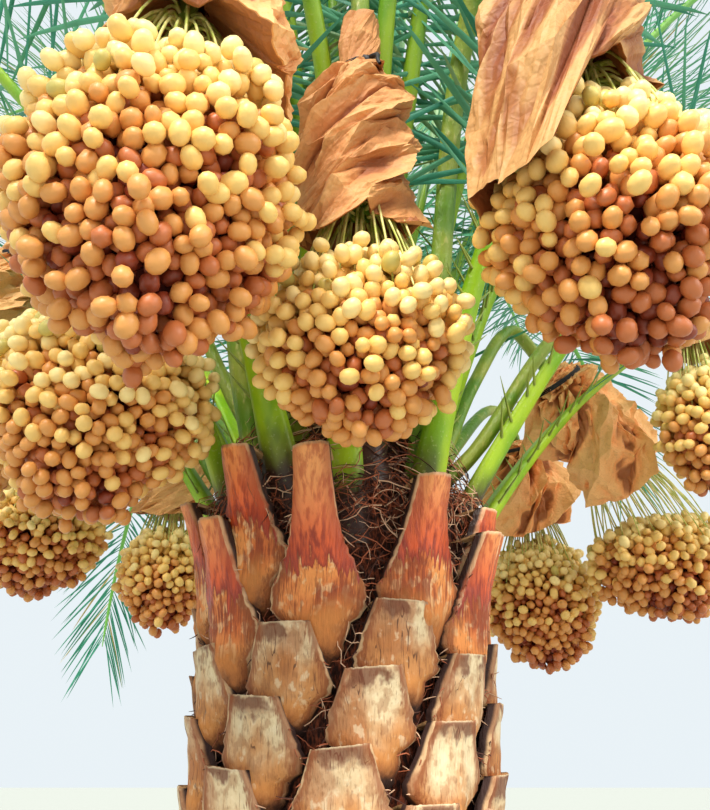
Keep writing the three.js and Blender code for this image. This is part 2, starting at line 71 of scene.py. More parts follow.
# The trunk is a column of old leaf bases, each cut straight across with a blade and left on the stem.
# They follow one spiral. The lower ones are bleached and cracked, and the last twelve are still long
# and red-brown. Between them shows the dark mat of the leaf sheaths' fibre.
TRUNK_HEIGHT = 1.88
COLUMN_RADIUS = 0.244
FLARE_RADIUS = 0.08
FLARE_HEIGHT = 0.15
HEART_TOP = 2.5
HEART_TOP_RADIUS = 0.042
LEAF_TURN = -107
LEAF_RISE = 0.01075
FIRST_LEAF_TURN = 110.8
FIRST_LEAF_HEIGHT = 0.047
FIRST_LONG_STUB = 146


def chance(a, b):
    """The same value each run for each pair of numbers, between -1 and 1."""
    wave = np.sin(a * 127.1 + b * 311.7) * 43758.5453
    return 2 * (wave - np.floor(wave)) - 1


def ripple(x, y, seed):
    """A gentle unevenness between about -1 and 1."""
    total = 0
    for k in range(1, 5):
        turn = math.pi * chance(seed, k)
        phase = math.pi * chance(seed, k + 20)
        total = total + np.sin(k * (x * math.cos(turn) + y * math.sin(turn)) + phase) / k ** 0.5
    return total / 2


def polar(azimuth, radius, height):
    """Points at a distance from the trunk's axis, in the direction of an azimuth counted from +X."""
    turn = np.radians(azimuth)
    return np.stack(np.broadcast_arrays(radius * np.cos(turn), radius * np.sin(turn), height), axis=-1)


def stem_radius(height):
    column = COLUMN_RADIUS + FLARE_RADIUS * np.exp(-np.maximum(height, 0) / FLARE_HEIGHT)
    rise = np.clip((height - TRUNK_HEIGHT) / (HEART_TOP - TRUNK_HEIGHT), 0, 1)
    foot = COLUMN_RADIUS - 0.02
    return np.where(height < TRUNK_HEIGHT, column, foot + (HEART_TOP_RADIUS - foot) * rise ** 0.85)


def leaf_seat(n):
    """The azimuth, radius and height at which leaf number n leaves the stem."""
    height = FIRST_LEAF_HEIGHT + n * LEAF_RISE
    return FIRST_LEAF_TURN + n * LEAF_TURN, stem_radius(height), height


def unit(vectors):
    return vectors / np.maximum(np.linalg.norm(vectors, axis=-1, keepdims=True), 1e-9)


def grid_faces(rows, columns, closed=False):
    """The quads of a grid of points, row by row. A closed grid joins its last column to its first."""
    r, c = np.meshgrid(np.arange(rows - 1), np.arange(columns - (not closed)), indexing="ij")
    a = r * columns + c
    b = r * columns + (c + 1) % columns
    return np.stack([a, b, b + columns, a + columns], axis=-1).reshape(-1, 4)


def copies(faces, count, size):
    """The same faces over each of many equal blocks of points."""
    return (faces[None] + (np.arange(count) * size)[:, None, None]).reshape(-1, faces.shape[1])


class Joined:
    """The points and faces of one joined piece, gathered part by part."""

    def __init__(self):
        self.points = []
        self.faces = []
        self.paints = []
        self.marks = {}
        self.count = 0

    def add(self, points, faces, paint=0, **marks):
        """Faces over a block of points. Each mark is a number at each point, for the material."""
        shape = np.shape(points)[:-1]
        self.points.append(np.reshape(points, (-1, 3)))
        self.faces.append(faces + self.count)
        self.paints.append(np.broadcast_to(paint, len(faces)))
        for key, value in marks.items():
            self.marks.setdefault(key, []).append(np.broadcast_to(value, shape).ravel())
        self.count += len(self.points[-1])

    def add_copies(self, blocks, quads, triangles, paints):
        """The same quads and triangles over each of many equal blocks of points, and a paint for each."""
        base = self.count
        self.add(blocks, copies(quads, *blocks.shape[:2]), np.repeat(paints, len(quads)))
        self.faces.append(copies(triangles, *blocks.shape[:2]) + base)
        self.paints.append(np.repeat(paints, len(triangles)))

    def piece(self, name, slot, nodes, finishes, smooth=True):
        """Makes the object, which rides on the palm and stands for the nodes."""
        mesh = bpy.data.meshes.new(name)
        mesh.vertices.add(self.count)
        mesh.vertices.foreach_set("co", np.concatenate(self.points).ravel())
        corners = np.concatenate([faces.ravel() for faces in self.faces])
        sizes = np.concatenate([np.full(len(faces), faces.shape[1]) for faces in self.faces])
        mesh.loops.add(len(corners))
        mesh.loops.foreach_set("vertex_index", corners)
        mesh.polygons.add(len(sizes))
        mesh.polygons.foreach_set("loop_start", np.cumsum(sizes) - sizes)
        mesh.polygons.foreach_set("material_index", np.concatenate(self.paints))
        mesh.polygons.foreach_set("use_smooth", np.full(len(sizes), smooth))
        for key, values in self.marks.items():
            mesh.attributes.new(key, "FLOAT", "POINT").data.foreach_set("value", np.concatenate(values))
        mesh.update(calc_edges=True)
        mesh.validate()
        for finish in finishes:
            mesh.materials.append(finish.material)
        made = bpy.data.objects.new(name, mesh)
        bpy.context.collection.objects.link(made)
        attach(made, "root")
        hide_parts(*nodes)
        return made


def paint(code):
    """A colour given as six hex digits, as a shader takes it."""
    shares = [int(code[k : k + 2], 16) / 255 for k in (0, 2, 4)]
    return (*[s / 12.92 if s < 0.04045 else ((s + 0.055) / 1.055) ** 2.4 for s in shares], 1)


class Wire:
    """A socket of a finish. Sums and products with it add Math nodes."""

    def __init__(self, finish, socket):
        self.finish = finish
        self.socket = socket

    def maths(self, operation, first, second):
        return self.finish.node("Math", {"operation": operation}, {0: first, 1: second})

    def __add__(self, other):
        return self.maths("ADD", self, other)

    def __sub__(self, other):
        return self.maths("SUBTRACT", self, other)

    def __rsub__(self, other):
        return self.maths("SUBTRACT", other, self)

    def __mul__(self, other):
        return self.maths("MULTIPLY", self, other)

    __radd__ = __add__
    __rmul__ = __mul__

    def swing(self, amount):
        """What a noise departs from its middle by, times an amount."""
        return (self - 0.5) * amount

    def between(self, low, high):
        """0 below low, 1 above high, and a soft step between them."""
        settings = {"interpolation_type": "SMOOTHSTEP"}
        return self.finish.node("MapRange", settings, {"Value": self, "From Min": low, "From Max": high})


class Finish:
    """A material on one Principled shader."""

    def __init__(self, name, **constants):
        self.material = bpy.data.materials.new(name)
        self.material.use_nodes = True
        self.tree = self.material.node_tree
        self.shader = self.tree.nodes["Principled BSDF"]
        for key, value in constants.items():
            self.shader.inputs[key.replace("_", " ").title()].default_value = value

    def node(self, kind, settings, values, output=0):
        """Any node: its type, its settings, then the values or links of its sockets."""
        made = self.tree.nodes.new("ShaderNode" + kind)
        for key, value in settings.items():
            setattr(made, key, value)
        for key, value in values.items():
            self.join(made.inputs[key], value)
        return Wire(self, made.outputs[output])

    def join(self, socket, value):
        """Links a wire to a socket, or sets the socket to a value or to a colour's six hex digits."""
        if isinstance(value, Wire):
            self.tree.links.new(value.socket, socket)
        else:
            socket.default_value = paint(value) if isinstance(value, str) else value

    def place(self):
        return self.node("TexCoord", {}, {}, "Object")

    def noise(self, scale, detail=3, stretch=(1, 1, 1), shift=(0, 0, 0)):
        values = {0: self.place(), 1: stretch, 2: shift}
        drawn = self.node("VectorMath", {"operation": "MULTIPLY_ADD"}, values)
        return self.node("TexNoise", {}, {"Vector": drawn, "Scale": scale, "Detail": detail})

    def mark(self, key):
        return self.node("Attribute", {"attribute_name": key}, {}, "Fac")

    def blend(self, share, first, second):
        return self.node("Mix", {"data_type": "RGBA"}, {0: share, 6: first, 7: second}, 2)

    def coats(self, skin, *coats):
        """A skin under several coats, each given by its share and its colour."""
        for share, colour in coats:
            skin = self.blend(share, skin, colour)
        return skin

    def colour(self, value):
        self.join(self.shader.inputs["Base Color"], value)

    def rough(self, value):
        self.join(self.shader.inputs["Roughness"], value)

    def bump(self, height, distance):
        normal = self.node("Bump", {}, {"Height": height, "Distance": distance})
        self.join(self.shader.inputs["Normal"], normal)


# What is left of a leaf: a shield with a straight cut on top that stands off the trunk, ragged thin
# sides, and a keel that ends below in a round chin. Sizes down the shield from the cut to the chin.
BOOT = {
    "top": 0.08,
    "bottom": -0.102,
    "down": [0, 0.15, 0.35, 0.5, 0.60, 0.67, 0.80, 0.93, 1],
    "half": [0.045, 0.053, 0.064, 0.072, 0.067, 0.047, 0.038, 0.025, 0.007],
    "out": [0.047, 0.041, 0.034, 0.032, 0.032, 0.034, 0.031, 0.015, -0.012],
    "sag": [0.004, 0.007, 0.012, 0.018, 0.023, 0.026, 0.028, 0.024, 0.006],
}
LONG_STUB = {
    "top": 0.24,
    "bottom": -0.112,
    "down": [0, 0.12, 0.3, 0.45, 0.56, 0.66, 0.735, 0.80, 0.92, 1],
    "half": [0.031, 0.032, 0.038, 0.051, 0.067, 0.081, 0.078, 0.052, 0.036, 0.008],
    "out": [0.106, 0.090, 0.066, 0.051, 0.043, 0.038, 0.038, 0.040, 0.025, -0.006],
    "sag": [0.012, 0.012, 0.013, 0.015, 0.019, 0.027, 0.031, 0.029, 0.024, 0.006],
}
LONG_CUTS = (0.75, 0.8, 0.9, 0.8, 1, 0.85, 0.8, 0.8, 0.78, 0.9, 0.55, 0.8)
RAGGED = 0.028  # of the half width, as are the next two
LOPSIDED = 0.04
TORN = 0.06
KEEL = 0.004
KEEL_WIDTH = 0.4  # of the half width
DENTS = 0.0026
CHIN_DRIFT = 0.018
CUT_SLANT = 0.005
CUT_DEPTH = 0.06
CUT_FALL = 0.012
CUT_BACK = np.array([1, 0.6, 0.25, 0.03])[:, None]  # shares of the cut's depth
EDGE_DEPTH = 0.02
WORN_BOOTS = 6
FAR_BOOTS = 64
FAR_GRID = (18, 13)
NEAR_GRID = (28, 21)
LONG_GRID = (44, 27)
HAIRS = 12


def add_leaf_base(gathered, n, form, grid, fresh, kept=1):
    """One leaf base, and the hairs that its ragged sides end in: their starts and directions."""
    rows, columns = grid
    azimuth, radius, height = leaf_seat(n)
    tall = form["top"] - form["bottom"]
    first = (1 - kept) * form["top"] / tall
    down = np.linspace(first, 1, rows)[:, None]
    across = np.linspace(-1, 1, columns)[None, :]
    half, out, sag = (np.interp(down, form["down"], form[key]) for key in ("half", "out", "sag"))
    low = np.clip((down - 0.2) * 4, 0, 1)
    ragged = low * (RAGGED * ripple(down * 26, across * 2, n) + LOPSIDED * chance(n, 8))
    torn = TORN * low * chance(n, down * 61) * np.abs(across) ** 8
    keel_place = (across - 0.3 * chance(n, 5)) / KEEL_WIDTH
    keel = KEEL * np.exp(-(keel_place**2)) * np.sin(math.pi * down)
    dents = DENTS * ripple(across * 3, down * 7, n + 200)
    chin = CHIN_DRIFT * chance(n, 4) * np.clip((down - 0.4) * 2, 0, 1) ** 2
    wear = np.clip((n + 2) / WORN_BOOTS, 0.25, 1)
    reach = radius + wear * (out - sag * np.abs(across) ** 2.2 + keel + dents)
    level = height + form["top"] * (1 + 0.05 * chance(n, 2)) - tall * down
    slant = CUT_SLANT * chance(n, 1) + 0.0012 * chance(n, across * 9)
    level = level + (1 - down) * across * slant
    sides = half * (1 + ragged + torn) * across + chin
    # The sides turn in towards the trunk, and the cut runs back to it
    reach = np.hstack([reach[:, :1] - EDGE_DEPTH, reach, reach[:, -1:] - EDGE_DEPTH])
    sides = np.hstack([0.97 * sides[:, :1], sides, 0.97 * sides[:, -1:]])
    level = np.hstack([level[:, :1], level, level[:, -1:]])
    roughly = 0.0016 * chance(n, np.arange(reach.shape[1])[None, :] + 31 * CUT_BACK)
    reach = np.vstack([reach[:1] - CUT_DEPTH * CUT_BACK, reach])
    level = np.vstack([level[:1] - CUT_FALL * CUT_BACK + roughly, level])
    sides = np.vstack([sides[:1] * (1 - 0.1 * CUT_BACK), sides])
    aside = polar(azimuth - 90, 1, 0)
    points = polar(azimuth, reach, np.maximum(level, 0)) + sides[..., None] * aside
    edge = np.hstack([1.2, np.abs(across[0]), 1.2])[None, :]
    lower = np.vstack([first - 0.3 * CUT_BACK, down])
    marks = {"down": lower, "cut": lower - first, "edge": edge, "tone": 0.5 + 0.5 * chance(n, 7)}
    gathered.add(points, grid_faces(*reach.shape), fresh=fresh, **marks)
    draw = np.random.default_rng(n)
    row = len(CUT_BACK) + (draw.uniform(0.25, 0.8, HAIRS) * rows).astype(int)
    hand = draw.choice((-1, 1), HAIRS)
    spread = draw.uniform(0.1, 1, (HAIRS, 1)) * hand[:, None] * aside
    way = spread + polar(azimuth, 1, 0) * draw.uniform(-0.3, 0.5, (HAIRS, 1))
    starts = points[row, np.where(hand > 0, -2, 1)]
    return starts, unit(way - (0, 0, 1) * draw.uniform(-0.2, 1, (HAIRS, 1)))


bark = Finish("bark", roughness=0.8)
tone, down, cut, edge, fresh = (bark.mark(key) for key in ("tone", "down", "cut", "edge", "fresh"))
grain = bark.noise(34, 4, (5, 5, 0.45), tone * 7)
hair = bark.noise(110, 2, (3, 3, 0.35), tone * 7)
blotch = bark.noise(15, 4, (1, 1, 0.7), tone * 7)
scurf = bark.noise(58, 5, (1, 1, 0.8), tone * 7)
streak = bark.noise(16, 3, (8, 8, 0.3), tone * 7)
split = bark.noise(8, 2, (7, 7, 0.5), tone * 7) - 0.5
rust = bark.noise(8, 3, (1, 1, 0.5), tone * 11)
# Bleached: cream above and golden below, with flakes, brown mottles, dark fibres and a few cracks
crack = (split * split).between(0.00016, 0.00002) * blotch.between(0.5, 0.56)
bleached = bark.coats(
    bark.blend((down + blotch.swing(1.2)).between(0.12, 0.55), "DCC49C", "BE8048"),
    (rust.between(0.56, 0.62) * 0.55, "A45C2A"),
    (scurf.between(0.5, 0.62) * 0.5, "9A6238"),
    (scurf.between(0.44, 0.34) * 0.5, "E6D2AE"),
    (hair.between(0.56, 0.72) * 0.5, "744422"),
    (crack * 0.8, "4A2616"),
)
# Raw: orange-brown with cream scurf and dark red patches
raw = bark.coats(
    bark.blend(blotch.between(0.36, 0.6), "EC9650", "CA6630"),
    (scurf.between(0.5, 0.6) * 0.6, "EFC692"),
    ((blotch + grain).between(0.96, 1.12) * 0.8, "8A3A1C"),
    (hair.between(0.52, 0.68) * 0.45, "6E2E16"),
)
# The smooth neck of a long stub, whose ragged lower border runs up in the middle
border = down + streak.swing(0.5) + blotch.swing(0.2) + (1 - edge) * 0.08
neck = border.between(0.6, 0.57) * fresh
red = bark.coats(
    bark.blend(down.between(0.05, 0.5), "FFAC66", "E25A22"),
    (streak.between(0.42, 0.64) * 0.6, "B03A10"),
    # Painted shade: the neck darkens towards its edges
    (edge.between(0.3, 1.0) * 0.6, "98300E"),
    (border.between(0.42, 0.58) * 0.8, "84200A"),
)
# Stains under the cut, then the neck, a golden chin that goes dark below, brown sides that darken towards
# the edges, partly their own colour and partly painted shade, a thin painted highlight along the rim,
# painted shade on the edge that turns in behind it, and the fresh wood of the cut
stain = (cut + scurf.swing(0.35) + tone * 0.12).between(0.26, 0.16) * (1 - fresh)
low = down - fresh * 0.1
# Painted highlight: a thin pale line along the rim of each side
rim_highlight = (edge + scurf.swing(0.2)).between(0.93, 0.98) * (0.12 + blotch.between(0.45, 0.58) * 0.5)
bark.colour(
    bark.coats(
        bark.blend(fresh, bleached, raw),
        (stain * blotch.between(0.44, 0.5) * 0.85, "6A3014"),
        (neck, red),
        (cut.between(0.02, 0.0) * 0.6, "F0D8AE"),
        ((low + blotch.swing(0.3)).between(0.58, 0.72) * 0.75, "C67E3A"),
        # The sides darken towards their edges: their own brown, and partly painted shade
        ((edge + blotch.swing(0.8)).between(0.6, 1.0) * 0.5 * (1 - neck), "A2602E"),
        ((edge + hair.swing(0.5)).between(0.7, 0.9) * 0.7 * (1 - neck), "84421E"),
        (rim_highlight, "EBC898"),
        ((low + scurf.swing(0.2)).between(0.66, 0.84) * 0.7, "84441C"),
        ((low + scurf.swing(0.2)).between(0.76, 0.9), "2E140A"),
        # Painted shade on the edge that turns in towards the trunk, between the leaf bases
        (edge.between(1.02, 1.1), "30140C"),
        (cut.between(-0.002, -0.02) * 0.8, "B98A58"),
    )
)
bark.rough(0.78 - neck * 0.32)
bark.bump(grain * 0.5 + hair * 0.35 + blotch * 0.4 + scurf * 0.35 - neck * 0.2, 0.005)

boots = Joined()
hairs = []
for n in range(FIRST_LONG_STUB):
    hairs.append(add_leaf_base(boots, n, BOOT, FAR_GRID if n < FAR_BOOTS else NEAR_GRID, 0))
boots.piece("cut_leaf_bases", "trunk", ["trunk"], [bark])
long_stubs = Joined()
for n, kept in enumerate(LONG_CUTS, FIRST_LONG_STUB):
    hairs.append(add_leaf_base(long_stubs, n, LONG_STUB, LONG_GRID, 1, kept))
long_stubs.piece("long_leaf_bases", "trunk", ["trunk"], [bark])

# Behind the leaf bases is the stem itself, a column with a flared foot. It is covered with the mat of old
# sheaths, so it is dark and rough.
STEM_SIDES = 72
mat = Finish("sheath_mat", roughness=0.95)
strands = mat.noise(60, 4, (3, 3, 1))
mat.colour(mat.blend(strands.between(0.4, 0.7), "32150C", "9A4C2E"))
mat.bump(strands, 0.012)


def around(sides):
    """Azimuths evenly round the trunk, from +X and back the other way."""
    return np.linspace(360, 0, sides, endpoint=False)


def add_column(gathered, low, high, rows, sides, inset):
    height = np.linspace(low, high, rows)[:, None]
    uneven = 0.006 * ripple(np.radians(around(sides)) * 7, height * 40, 3)
    points = polar(around(sides), stem_radius(height) - inset + uneven, height)
    gathered.add(points, grid_faces(rows, sides, True))


stem = Joined()
add_column(stem, 0, TRUNK_HEIGHT, 80, STEM_SIDES, 0.012)
foot = np.vstack([polar(around(STEM_SIDES), stem_radius(0) - 0.02, 0), [[0, 0, 0]]])
stem.add(foot, np.array([[k, STEM_SIDES, (k + 1) % STEM_SIDES] for k in range(STEM_SIDES)]))
stem.piece("matted_stem", "trunk", ["trunk"], [mat])

# Loose fibre: the threads of old leaf sheaths that have come away and curl out between the stubs. They
# are wiry, in three browns, and stand thickest round the tops of the long stubs.
THREAD_STEPS = 8


def add_tubes(gathered, paths, radii, sides, paints=0):
    """Round tubes along many paths of equal length, with one paint for all or one for each."""
    count, steps = paths.shape[:2]
    along = unit(np.gradient(paths, axis=1))
    chord = unit(paths[:, -1] - paths[:, 0])
    spare = np.where(np.abs(chord[:, 2:]) > 0.8, (1.0, 0.2, 0), (0.1, 0.2, 1.0))
    out = unit(np.cross(chord, spare))[:, None]
    out = unit(out - along * np.sum(out * along, axis=-1, keepdims=True))
    up = np.cross(along, out)
    turn = 2 * math.pi * np.arange(sides) / sides
    ring = out[:, :, None] * np.cos(turn)[:, None] + up[:, :, None] * np.sin(turn)[:, None]
    points = paths[:, :, None] + ring * np.broadcast_to(radii, (count, steps))[..., None, None]
    faces = copies(grid_faces(steps, sides, True), count, steps * sides)
    gathered.add(points, faces, np.repeat(paints, len(faces) // np.size(paints)))


def thread_paths(count, low, high, length, rise, away, draw):
    """Paths that wander over the stem, each a little way off it."""
    turn = draw.uniform(0, 360, count)
    height = draw.uniform(low, high, count)
    room = np.interp(height, [1.78, 1.92], [0.014, away]) if low > 1.5 else away
    off = draw.uniform(0, 1, count) * room
    heading = draw.uniform(-1, 1, count) * rise + draw.integers(0, 2, count) * math.pi
    stride = draw.uniform(0.5, 1, count) * length / THREAD_STEPS
    lift = draw.uniform(-0.3, 1, count) * 0.04 / THREAD_STEPS
    paths = []
    for _ in range(THREAD_STEPS):
        paths.append(polar(turn, stem_radius(height) + off, height))
        turn = turn + np.degrees(stride * np.cos(heading) / stem_radius(height))
        height = height + stride * np.sin(heading)
        heading = heading + draw.normal(0, 0.45, count)
        off = np.clip(off + lift + draw.normal(0, 0.003, count), 0, np.maximum(room, 0.02))
        height = np.maximum(height, 0.01)
    return np.stack(paths, axis=1)


fibre_finishes = []
for name, colour in (("dark_fibre", "34140D"), ("brown_fibre", "B25E3A"), ("pale_fibre", "F0C4A0")):
    finish = Finish(name, roughness=0.7)
    worn = finish.noise(300, 2)
    finish.colour(finish.blend(worn * 0.4, colour, "8A5038"))
    fibre_finishes.append(finish)
THREADS = [  # how many, lowest and highest start, length, steepness of their run, reach off, thickness
    (1300, 1.74, 2.04, 0.16, 1.0, 0.060, 0.0015),
    (700, 1.60, 1.90, 0.08, 1.4, 0.050, 0.0012),
    (500, 1.05, 1.70, 0.10, 1.2, 0.016, 0.0012),
    (400, 0.05, 1.10, 0.10, 1.3, 0.020, 0.0013),
]
threads = Joined()
for row, (count, low, high, length, rise, away, thickness) in enumerate(THREADS):
    paths = thread_paths(count, low, high, length, rise, away, np.random.default_rng(5 + row))
    shades = np.random.default_rng(row).choice(3, count, p=(0.4, 0.36, 0.24))
    add_tubes(threads, paths, np.linspace(1, 0.4, THREAD_STEPS) * thickness, 3, shades)
# Hairs at the ragged sides of the leaf bases
starts, ways = (np.concatenate(part) for part in zip(*hairs))
draw = np.random.default_rng(4)
reach = draw.uniform(0.006, 0.022, (len(starts), 1))
bend = unit(draw.normal(0, 1, ways.shape)) * 0.4
t = np.array([0, 0.4, 0.75, 1])[:, None]
paths = starts[:, None] + reach[:, None] * (ways[:, None] * t + bend[:, None] * t**2)
paths[..., 2] = np.maximum(paths[..., 2], 0.003)
shades = draw.choice(3, len(starts), p=(0.3, 0.4, 0.3))
add_tubes(threads, paths, np.array([0.0013, 0.0011, 0.0008, 0.0004]), 3, shades)
threads.piece("loose_fibre", "trunk", ["trunk"], fibre_finishes)

# The heart: the wrapped bases of the youngest leaves, one in another, which narrow upwards. They are
# bound in a net of crossing fibre.
NET_LINES = 46
NET_WIND = 190
heart = Joined()
add_column(heart, TRUNK_HEIGHT - 0.02, HEART_TOP, 40, 60, 0.004)
heart.piece("heart_sheath", "heart", ["heart"], [mat])
net = Joined()
height = np.linspace(TRUNK_HEIGHT - 0.05, HEART_TOP - 0.06, 22)
start = np.arange(NET_LINES)[:, None] * 360 / NET_LINES
for k, lean in enumerate((1, -1)):
    turn = start + lean * (height - TRUNK_HEIGHT) * NET_WIND + 3 * ripple(start * 3, height * 30, 60 + k)
    paths = polar(turn, stem_radius(height) + 0.002 + 0.004 * np.abs(np.sin(height * 40 + start)), height)
    add_tubes(net, paths, 0.0016, 3, np.arange(NET_LINES) % 3 % 2 + k % 2)
net.piece("heart_net", "heart", ["heart"], fibre_finishes)

# The bunches hang on stalks that spring from the leaf axils. Each row gives the leaf, the middle of the
# fruit, its half sizes, how early its stalk climbs, and how far it drops and how much it leans in.
BUNCHES = {
    "front_left": (167, (-0.240, -0.720, 2.095), (0.205, 0.185, 0.250), 1, (0.48, 0.06)),
    "low_left": (164, (-0.430, -0.305, 1.985), (0.215, 0.195, 0.215), 1, (0.40, 0.04)),
    "front": (170, (0.030, -0.490, 2.010), (0.178, 0.148, 0.178), 1, (0.57, 0)),
    "front_right": (163, (0.375, -0.660, 2.100), (0.190, 0.180, 0.212), 1, (0.50, 0.04)),
    "right": (166, (0.840, 0.070, 2.100), (0.140, 0.140, 0.180), 0, (0.15, 0.03)),
    "back_right_out": (169, (0.857, 0.500, 1.883), (0.225, 0.180, 0.150), 0.2, (0.27, 0.40)),
    "back_right_in": (162, (0.573, 0.760, 1.831), (0.184, 0.170, 0.200), 0.2, (0.24, 0.09)),
    "back": (165, (0.030, 0.880, 1.900), (0.180, 0.180, 0.195), 0.6, (0.33, 0.09)),
    "back_left_in": (168, (-0.540, 0.720, 1.895), (0.152, 0.152, 0.165), 0.6, (0.30, 0.09)),
    "back_left_out": (161, (-0.875, 0.545, 1.965), (0.215, 0.195, 0.155), 0.4, (0.30, 0.11)),
    "left": (171, (-0.865, 0.060, 2.075), (0.168, 0.168, 0.198), 0.6, (0.32, 0.06)),
}
AXIL = 0.078
STRAND_GAP = 0.06
LONG_STRANDS = {"back_right_out": (0.11, 0.16)}
ARCH_STEPS = 33
STALK_WIDTH = (0.054, 0.036)
STALK_THICKNESS = (0.034, 0.028)


def mixed(low, high, share):
    return low + (high - low) * share


def smooth_line(knots, count):
    """A smooth line through a few points, its steps even between each two of them."""
    knots = np.array(knots)
    knots = np.vstack([2 * knots[0] - knots[1], knots, 2 * knots[-1] - knots[-2]])
    spans = np.linalg.norm(np.diff(knots, axis=0), axis=1) ** 0.5
    times = np.concatenate([[0], np.cumsum(spans)])
    place = np.linspace(0, len(knots) - 3, count)
    first = np.minimum(place.astype(int), len(knots) - 4)
    p = [knots[first + k] for k in range(4)]
    t = [times[first + k][:, None] for k in range(4)]
    now = mixed(t[1], t[2], (place - first)[:, None])
    once = [mixed(p[k], p[k + 1], (now - t[k]) / (t[k + 1] - t[k])) for k in range(3)]
    twice = [mixed(once[k], once[k + 1], (now - t[k]) / (t[k + 2] - t[k])) for k in range(2)]
    return mixed(twice[0], twice[1], (now - t[1]) / (t[2] - t[1]))


def stalk_line(name, leaf, at, half, climb, drop):
    """Out of its axil, up the heart, over an arch and down into the fruit."""
    turn, _, height = leaf_seat(leaf)
    azimuth = math.degrees(math.atan2(at[1], at[0]))
    swing = (azimuth - turn + 180) % 360 - 180
    reach = math.hypot(at[0], at[1])
    fall, lean = drop
    root_height = height + AXIL
    gap, inset = LONG_STRANDS.get(name, (STRAND_GAP, 0.1 * lean))
    foot_height = at[2] + half[2] + gap
    shoulder_height = foot_height + fall
    start = float(stem_radius(root_height))

    def on(share, rise):
        return polar(
            turn + swing * min(1, share * 1.5),
            mixed(start, reach - lean, share),
            mixed(root_height, shoulder_height, rise),
        )

    shoulder = polar(azimuth, reach - lean, shoulder_height)
    foot = polar(azimuth, reach - inset, foot_height)
    knots = [
        polar(turn, start - 0.04, root_height),
        on(0.1, mixed(0.16, 0.35, climb)),
        on(0.4, mixed(0.62, 0.88, climb)),
        on(0.8, 1) + (0, 0, min(0.09, 0.2 * fall)),
        shoulder,
    ]
    return smooth_line(knots, ARCH_STEPS), shoulder, foot, polar(azimuth - 90, 1, 0)


def swept(line, side, shape, sizes):
    """A section carried along a line. Shape is its points, across and up, and sizes scales them."""
    along = unit(np.gradient(line, axis=0))
    side = unit(side - along * np.sum(side * along, axis=-1, keepdims=True))
    lift = np.cross(side, along)
    across = shape[None, :, :1] * sizes[:, None, :1] * side[:, None]
    return line[:, None] + across + shape[None, :, 1:] * sizes[:, None, 1:] * lift[:, None]


turns = np.linspace(0, 2 * math.pi, 10, endpoint=False)
STALK_SECTION = np.stack([np.cos(turns), np.sin(turns)], axis=-1) / 2
green_stalk = Finish("green_stalk", roughness=0.42)
speckle = green_stalk.noise(90, 3, (1, 1, 0.4))
cast = green_stalk.noise(9, 2)
stalk_skin = green_stalk.blend(cast.between(0.35, 0.65), "6E9A2E", "A9B548")
green_stalk.colour(green_stalk.blend(speckle.between(0.58, 0.7) * 0.5, stalk_skin, "D9CF7E"))
green_stalk.bump(speckle, 0.004)
FRUIT_NODES = ["bunch_" + name for name in BUNCHES]
FOOT_STEPS = 8
stalks = Joined()
stalk_lines = {}
for name, (leaf, at, half, climb, drop) in BUNCHES.items():
    arch, shoulder, foot, side = stalk_line(name, leaf, at, half, climb, drop)
    share = np.linspace(0, 1, len(arch))[:, None]
    sizes = np.hstack([mixed(*STALK_WIDTH, share), mixed(*STALK_THICKNESS, share)])
    straight = mixed(shoulder, foot, np.linspace(0.1, 1, FOOT_STEPS)[:, None])
    line = np.vstack([arch, straight])
    sizes = np.vstack([sizes, np.tile(sizes[-1], (FOOT_STEPS, 1))])
    sizes = sizes * (1 + 0.04 * ripple(np.arange(len(line)) * 0.9, 0, leaf)[:, None])
    stalks.add(swept(line, side, STALK_SECTION, sizes), grid_faces(len(line), len(STALK_SECTION), True))
    stalk_lines[name] = (foot, unit(foot - shoulder), side)
stalks.piece("fruit_stalks", "fruit", FRUIT_NODES, [green_stalk])

# The strands: dozens of thin yellow-green stems that leave the stalk's end in an arch and carry the fruit.
# They are waxy, and taper towards their ends.
STRAND_COUNT = 46
STRAND_STEPS = 9
strand_finish = Finish("strand", roughness=0.45)
waxy = strand_finish.noise(40, 2)
strand_finish.colour(strand_finish.blend(waxy.between(0.4, 0.6), "E2D88C", "B4BE58"))
fruit_strands = Joined()


def even_directions(count):
    """Directions spread evenly over a sphere, from the top down."""
    z = 1 - 2 * (np.arange(count) + 0.5) / count
    turn = np.arange(count) * math.pi * (3 - math.sqrt(5))
    ring = np.sqrt(1 - z * z)
    return np.stack([ring * np.cos(turn), ring * np.sin(turn), z], axis=-1)


for order, (name, (_, at, half, _, _)) in enumerate(BUNCHES.items()):
    foot, downward, _ = stalk_lines[name]
    draw = np.random.default_rng(40 + order)
    way = even_directions(2 * STRAND_COUNT)[:STRAND_COUNT]
    ends = np.array(at) + way * (np.array(half) - 0.03) * draw.uniform(0.75, 1.0, (STRAND_COUNT, 1))
    outward = unit(way * (1, 1, 0))
    starts = foot + downward * draw.uniform(-0.05, 0.01, (STRAND_COUNT, 1)) + outward * 0.012
    reach = np.linalg.norm((ends - starts)[:, :2], axis=1, keepdims=True)
    hump = starts + outward * reach * 0.45 + (0, 0, 1) * draw.uniform(0.0, 0.06, (STRAND_COUNT, 1))
    t = np.linspace(0, 1, STRAND_STEPS)[None, :, None]
    paths = (1 - t) ** 2 * starts[:, None] + 2 * t * (1 - t) * hump[:, None] + t**2 * ends[:, None]
    add_tubes(fruit_strands, paths, np.linspace(0.0032, 0.0018, STRAND_STEPS), 4)
fruit_strands.piece("fruit_strands", "fruit", FRUIT_NODES, [strand_finish])
